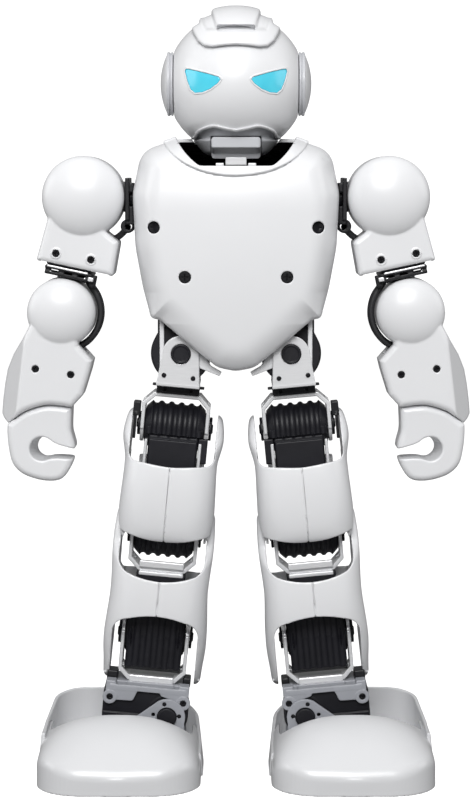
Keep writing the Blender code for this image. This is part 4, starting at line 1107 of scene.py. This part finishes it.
def leg_servos():
    ribbed_servo("thigh_servo_visual", HIP_PITCH, -67.4, -44, -HIP_PITCH - 4, "thigh_servo", "thigh", 5.2, (-62, -46))
    ribbed_servo("knee_servo_visual", KNEE, -KNEE, -68.2, -KNEE + 10, "knee_servo", "thigh", 5.2)
    ribbed_servo("ankle_servo_visual", ANKLE, -ANKLE, -116.2, -129, "ankle_servo", "shin", 6.2, foot=18.6)
    side = block((13.2, -11.6, -57), (18.0, -5, -44), 0.5)
    clip = union(block((-22.2, -9, -35), (-18.4, -1, -27.5), 0.6), block((-21.4, -9, -47), (-19.9, -6.6, -33), 0.3))
    add("thigh_lead_clips", clip, (-25, -10, -48), (-17, 3, -25), 0.45, "black_bracket", "hip", LEG)
    add("thigh_side_block", side, (12, -13, -59), (19.5, -3, -42), 0.45, "servo_case", "thigh", LEG)
    struts = both_sides(block((-14.9, -12.6, -64), (-13.3, -6, -46.5), 0.3))
    add("thigh_side_struts", struts, (-16, -14, -66), (16, -4, -45), 0.45, "bright_aluminium", "thigh", LEG)


def ankle():
    """The ankle's U, the grey saddle under it with two screw ears, and the roll servo."""
    band = strap(ANKLE, 21.6, 23.8, 1)
    lip = block((-11.6, -11.9, -174.6), (11.6, -10.2, -171.0), 0.4)
    add("ankle_strap", union(band, lip), (-19, -13, -ANKLE - 26), (19, 13, -ANKLE + 11), 0.5, "bright_aluminium",
        "ankle", LEG)
    fold = block((-12.5, -14.0, -177), (12.5, -12.3, -174.0), 0.4)
    saddle = block((-22.5, -11.8, -177.5), (19.5, 11.5, -174.6), 0.5)
    bar = block((-21, -18.6, -178.2), (19, -16.8, -175.4), 0.4)
    left_skirt = slab(rounded(((-21, -176, 0), (-5.5, -176, 0), (-8.5, -183.4, 1.5), (-16, -183.6, 1), (-21, -183.6, 1))),
                      -18.6, -16.9)
    right_skirt = slab(rounded(((4, -176, 0), (19, -176, 0), (20.6, -183.5, 2), (16.5, -184.5, 2), (11, -181, 4),
                                (6, -179.6, 2))), -18.6, -16.9)
    ears = [rod((s, -18.8, z), (s, -16.9, z), 3.7, 0.3) for s, z in ((-20.6, -182.2), (17.9, -182.4))]
    tabs = [block((s0, -18.4, -179), (s1, -10, -173.6), 0.4) for s0, s1 in ((-23, -18), (15, 20.5))]
    holes = [rod((s, -30, z), (s, -10, z), 1.7, 0.1) for s, z in ((-20.6, -182.2), (17.9, -182.4))]
    clear = block((-40, -16.75, -210), (40, 16.75, -177.7), 0)
    piece = cut(union(fold, saddle, bar, left_skirt, right_skirt, *ears, *tabs), clear, *holes, k=0.3)
    add("ankle_bracket_visual", piece, (-26, -20.5, -188), (23, 13, -170), 0.5, "grey_bracket", "ankle", LEG,
        ("ankle_bracket",))
    screws("ankle_screws", [(-20.6, -18.6, -182.2), (17.9, -18.6, -182.4)], 1.5, "black_frame", "ankle", LEG)
    s, z = ROLL_HUB.x, ROLL_HUB.z

    def drum(p):
        spoke = np.hypot(p[:, 0] - s, p[:, 2] - z)
        return np.maximum(spoke - 11 + 0.6 * bands(p[:, 1], 4.2, 1.0), np.abs(p[:, 1]) - 16.4)
    case = block((-24, -16.4, -199.4), (15, 16.4, -178), 1.0)
    line = block((-25, -20, -190.6), (-2, -15.9, -190.0), 0.1)
    servo = union(cut(case, line, k=0.2), drum, rod((s, -22.2, z), (s, 22.2, z), 4.8, 0.4))
    add("ankle_roll_servo_visual", servo, (-26, -24, -203), (23, 24, -176), 0.5, "servo_case", "ankle", LEG,
        ("ankle_roll_servo",))
    clip = union(block((-23.4, -9, -176), (-17.6, 2, -170.2), 0.8), block((16.6, -8, -176), (20.8, 2, -171), 0.8))
    add("ankle_lead_clips", clip, (-25, -11, -178), (22.5, 4, -168.5), 0.45, "black_bracket", "ankle", LEG)


# ---------------------------------------------------------------- feet

FOOT_MIDDLE = -60.2 - AXES["right_ankle_roll"].x
SHOE_HALF, TOE, HEEL = 42.0, -66.0, 55.5


def foot_bracket():
    z = AXES["right_ankle_roll"].z
    outline = [*arc((0, z), 9.6, -20, 118, 14), (-30, 20.5), (-30, 2.4), (9.4, 2.4)]
    hub = rod((0, -30, z), (0, 30, z), 5.2, 0)
    holes = [rod((x, -30, h), (x, 30, h), 1.0, 0) for x, h in ((-1.2, z + 7.0), (6.4, z + 0.6), (-7, z + 1.5))]
    front = slab(outline, -20.7, -19.0, rim=0.3)
    rear = slab(outline, 19.0, 20.7, rim=0.3)
    sole = block((-30, -20.7, 2.4), (9.4, 20.7, 4.1), 0.4)
    piece = cut(union(front, rear, sole), hub, *holes, k=0.3)
    add("foot_bracket_visual", piece, (-32, -22.5, 0.5), (11, 22.5, z + 11.5), 0.5, "grey_bracket", "foot", FOOT,
        ("foot_bracket",))
    ring = cut(rod((0, -22.0, z), (0, -20.8, z), 4.9, 0.2), rod((0, -23, z), (0, -21.6, z), 3.9, 0.2))
    add("foot_hub_ring", ring, (-6, -23.5, z - 6), (6, -20, z + 6), 0.35, "servo_case", "ankle", FOOT)
    screws("foot_bracket_screws", [(-1.2, -20.9, z + 7.0), (6.4, -20.9, z + 0.6)], 1.1, "black_frame", "foot", FOOT,
           step=0.25)


SHOE_EDGE = field(rounded(
    ((-SHOE_HALF, TOE + 1.5, 24), (0, TOE - 0.6, 90), (SHOE_HALF, TOE + 1.5, 24), (SHOE_HALF, 0, 200),
     (SHOE_HALF - 2.5, HEEL, 22), (2.5 - SHOE_HALF, HEEL, 22), (-SHOE_HALF, 0, 200)), 16))


def shoe_plan(p):
    """Signed distance to the foot's plan: a broad round toe and a round heel."""
    return SHOE_EDGE(p[:, 0] - FOOT_MIDDLE, p[:, 1])


def shoe_top(p):
    """The height of the shoe's outer skin."""
    x, y = p[:, 0] - FOOT_MIDDLE, p[:, 1]
    toe = np.clip((y - TOE) / 37.0, 0, 1)
    along = 11.0 + 22.6 * np.sin(toe * math.pi / 2) ** 0.9
    across = 1 - np.clip(np.abs(x + 1) / SHOE_HALF, 0, 1) ** 2.6
    return 10.5 + (along - 10.5) * across ** 0.62


def shoe():
    def form(p):
        plan = shoe_plan(p)
        top = (p[:, 2] - shoe_top(p)) * 0.75
        return -smooth_min(smooth_min(-plan, -top, 3.0), p[:, 2] - 0.3, 0.5)

    def heel_form(p):
        """The open cup behind: the plan's wall, rising towards the heel."""
        y = p[:, 1]
        inner = np.clip((p[:, 0] - FOOT_MIDDLE - 8) / 34, 0, 1)
        rim = 23.0 + 6.5 * np.clip((y + 10) / 60, 0, 1) ** 1.2 - 11.0 * inner ** 1.3
        lean = shoe_plan(p) + 0.10 * (p[:, 2] - 12)
        return -smooth_min(smooth_min(-lean, -(p[:, 2] - rim), 1.0), p[:, 2] - 0.3, 0.5)

    throat = rounded(((-37, -29, 18), (37, -29, 18), (37, 70, 18), (-37, 70, 18)), 6)
    opening = slab([(x + FOOT_MIDDLE, y) for x, y in throat], 9, 80, "z", rim=0)
    toe_cap = cut(cut(form, lambda p: form(p) + 2.0, k=0.4), opening, plane(1, 10, -1), k=0.8)
    wall = cut(heel_form, lambda p: np.maximum(shoe_plan(p) + 2.0 + 0.10 * (p[:, 2] - 12), 2.0 - p[:, 2]),
               plane(1, -26), k=0.8)
    sole = meet(lambda p: shoe_plan(p) + 0.2, plane(2, 2.1), plane(2, 0.3, -1), k=0.3)
    piece = union(toe_cap, wall, sole, k=0.6)
    low = (FOOT_MIDDLE - 44, TOE - 2, -1.5)
    high = (FOOT_MIDDLE + 44, HEEL + 2, 37)
    # The shoe's darker white finish is painted shade.
    add("shoe_visual", piece, low, high, 0.8, "shoe_white", "foot", FOOT, ("shoe",), keep=0.35)


# ---------------------------------------------------------------- studio


def paper(name, brightness):
    """White paper that is lit to nearly its full white by itself."""
    made = moulded(name, (0.9, 0.9, 0.9), 0.9, mottle=0.004, specular=0.1)
    shader = made.node_tree.nodes["Principled BSDF"]
    shader.inputs["Emission Color"].default_value = (1, 1, 1, 1)
    shader.inputs["Emission Strength"].default_value = brightness
    return made


def set_piece(name, points, faces, brightness):
    """Part of the set: the camera sees it, and it throws no light on the robot."""
    mesh = bpy.data.meshes.new(name)
    mesh.from_pydata(points, [], faces)
    mesh.materials.append(paper(name + "_paper", brightness))
    obj = bpy.data.objects.new(name, mesh)
    bpy.context.scene.collection.objects.link(obj)
    obj.visible_diffuse = False
    obj.visible_glossy = False
    return obj


def studio():
    reach, height, turns = 4.0, 3.0, 48
    ring = [(reach * math.cos(a), reach * math.sin(a)) for a in np.linspace(0, 2 * math.pi, turns, endpoint=False)]
    set_piece("floor", [(x, y, 0) for x, y in ring], [tuple(range(turns))], 0.85)
    wall = set_piece(
        "backdrop", [(x, y, z) for x, y in ring for z in (-0.01, height)],
        [(2 * i, 2 * i + 1, (2 * i + 3) % (2 * turns), (2 * i + 2) % (2 * turns)) for i in range(turns)], 1.0)
    wall.visible_shadow = False
    world = bpy.data.worlds.new("studio")
    world.use_nodes = True
    background = world.node_tree.nodes["Background"]
    background.inputs["Color"].default_value = (1, 1, 1, 1)
    background.inputs["Strength"].default_value = WORLD_LIGHT
    bpy.context.scene.world = world
    for name, place, size, power in LAMPS:
        light = bpy.data.lights.new(name, "AREA")
        light.size = size
        light.energy = power
        lamp = bpy.data.objects.new(name, light)
        lamp.location = place
        lamp.rotation_euler = (Vector((0, 0, 0.22)) - Vector(place)).to_track_quat("-Z", "Y").to_euler()
        bpy.context.scene.collection.objects.link(lamp)
    bpy.context.scene.view_settings.view_transform = "Standard"


WORLD_LIGHT = 0.21
LAMPS = (
    ("top_softbox", (0.0, -0.35, 1.2), 0.9, 2.2), ("front_softbox", (-0.12, -1.6, 1.2), 0.8, 29.5),
    ("left_softbox", (-1.6, -0.15, 0.7), 0.9, 5.2), ("right_softbox", (1.6, -0.15, 0.7), 0.9, 3.8))


def camera():
    data = bpy.data.cameras.new("camera")
    data.lens = 102.0
    data.sensor_width = 36.0
    view = bpy.data.objects.new("camera", data)
    view.location = (0, -1.175, 0.312)
    view.rotation_euler = (math.pi / 2 - math.radians(5.7), 0, 0)
    bpy.context.scene.collection.objects.link(view)
    bpy.context.scene.camera = view


def main():
    camera()
    finish_cad_nodes()
    for build in (
            chest_shell, back_shell, torso_inside, pelvis, face_shell, rear_head_shell, ear_cap, crest_visor,
            neck_sleeve, shoulder_bracket, upper_arm, elbow_yoke, forearm, hand, arm_leads, hip_bracket,
            leg_brackets, leg_servos, thigh, shin, ankle, foot_bracket, shoe, studio):
        build()


main()
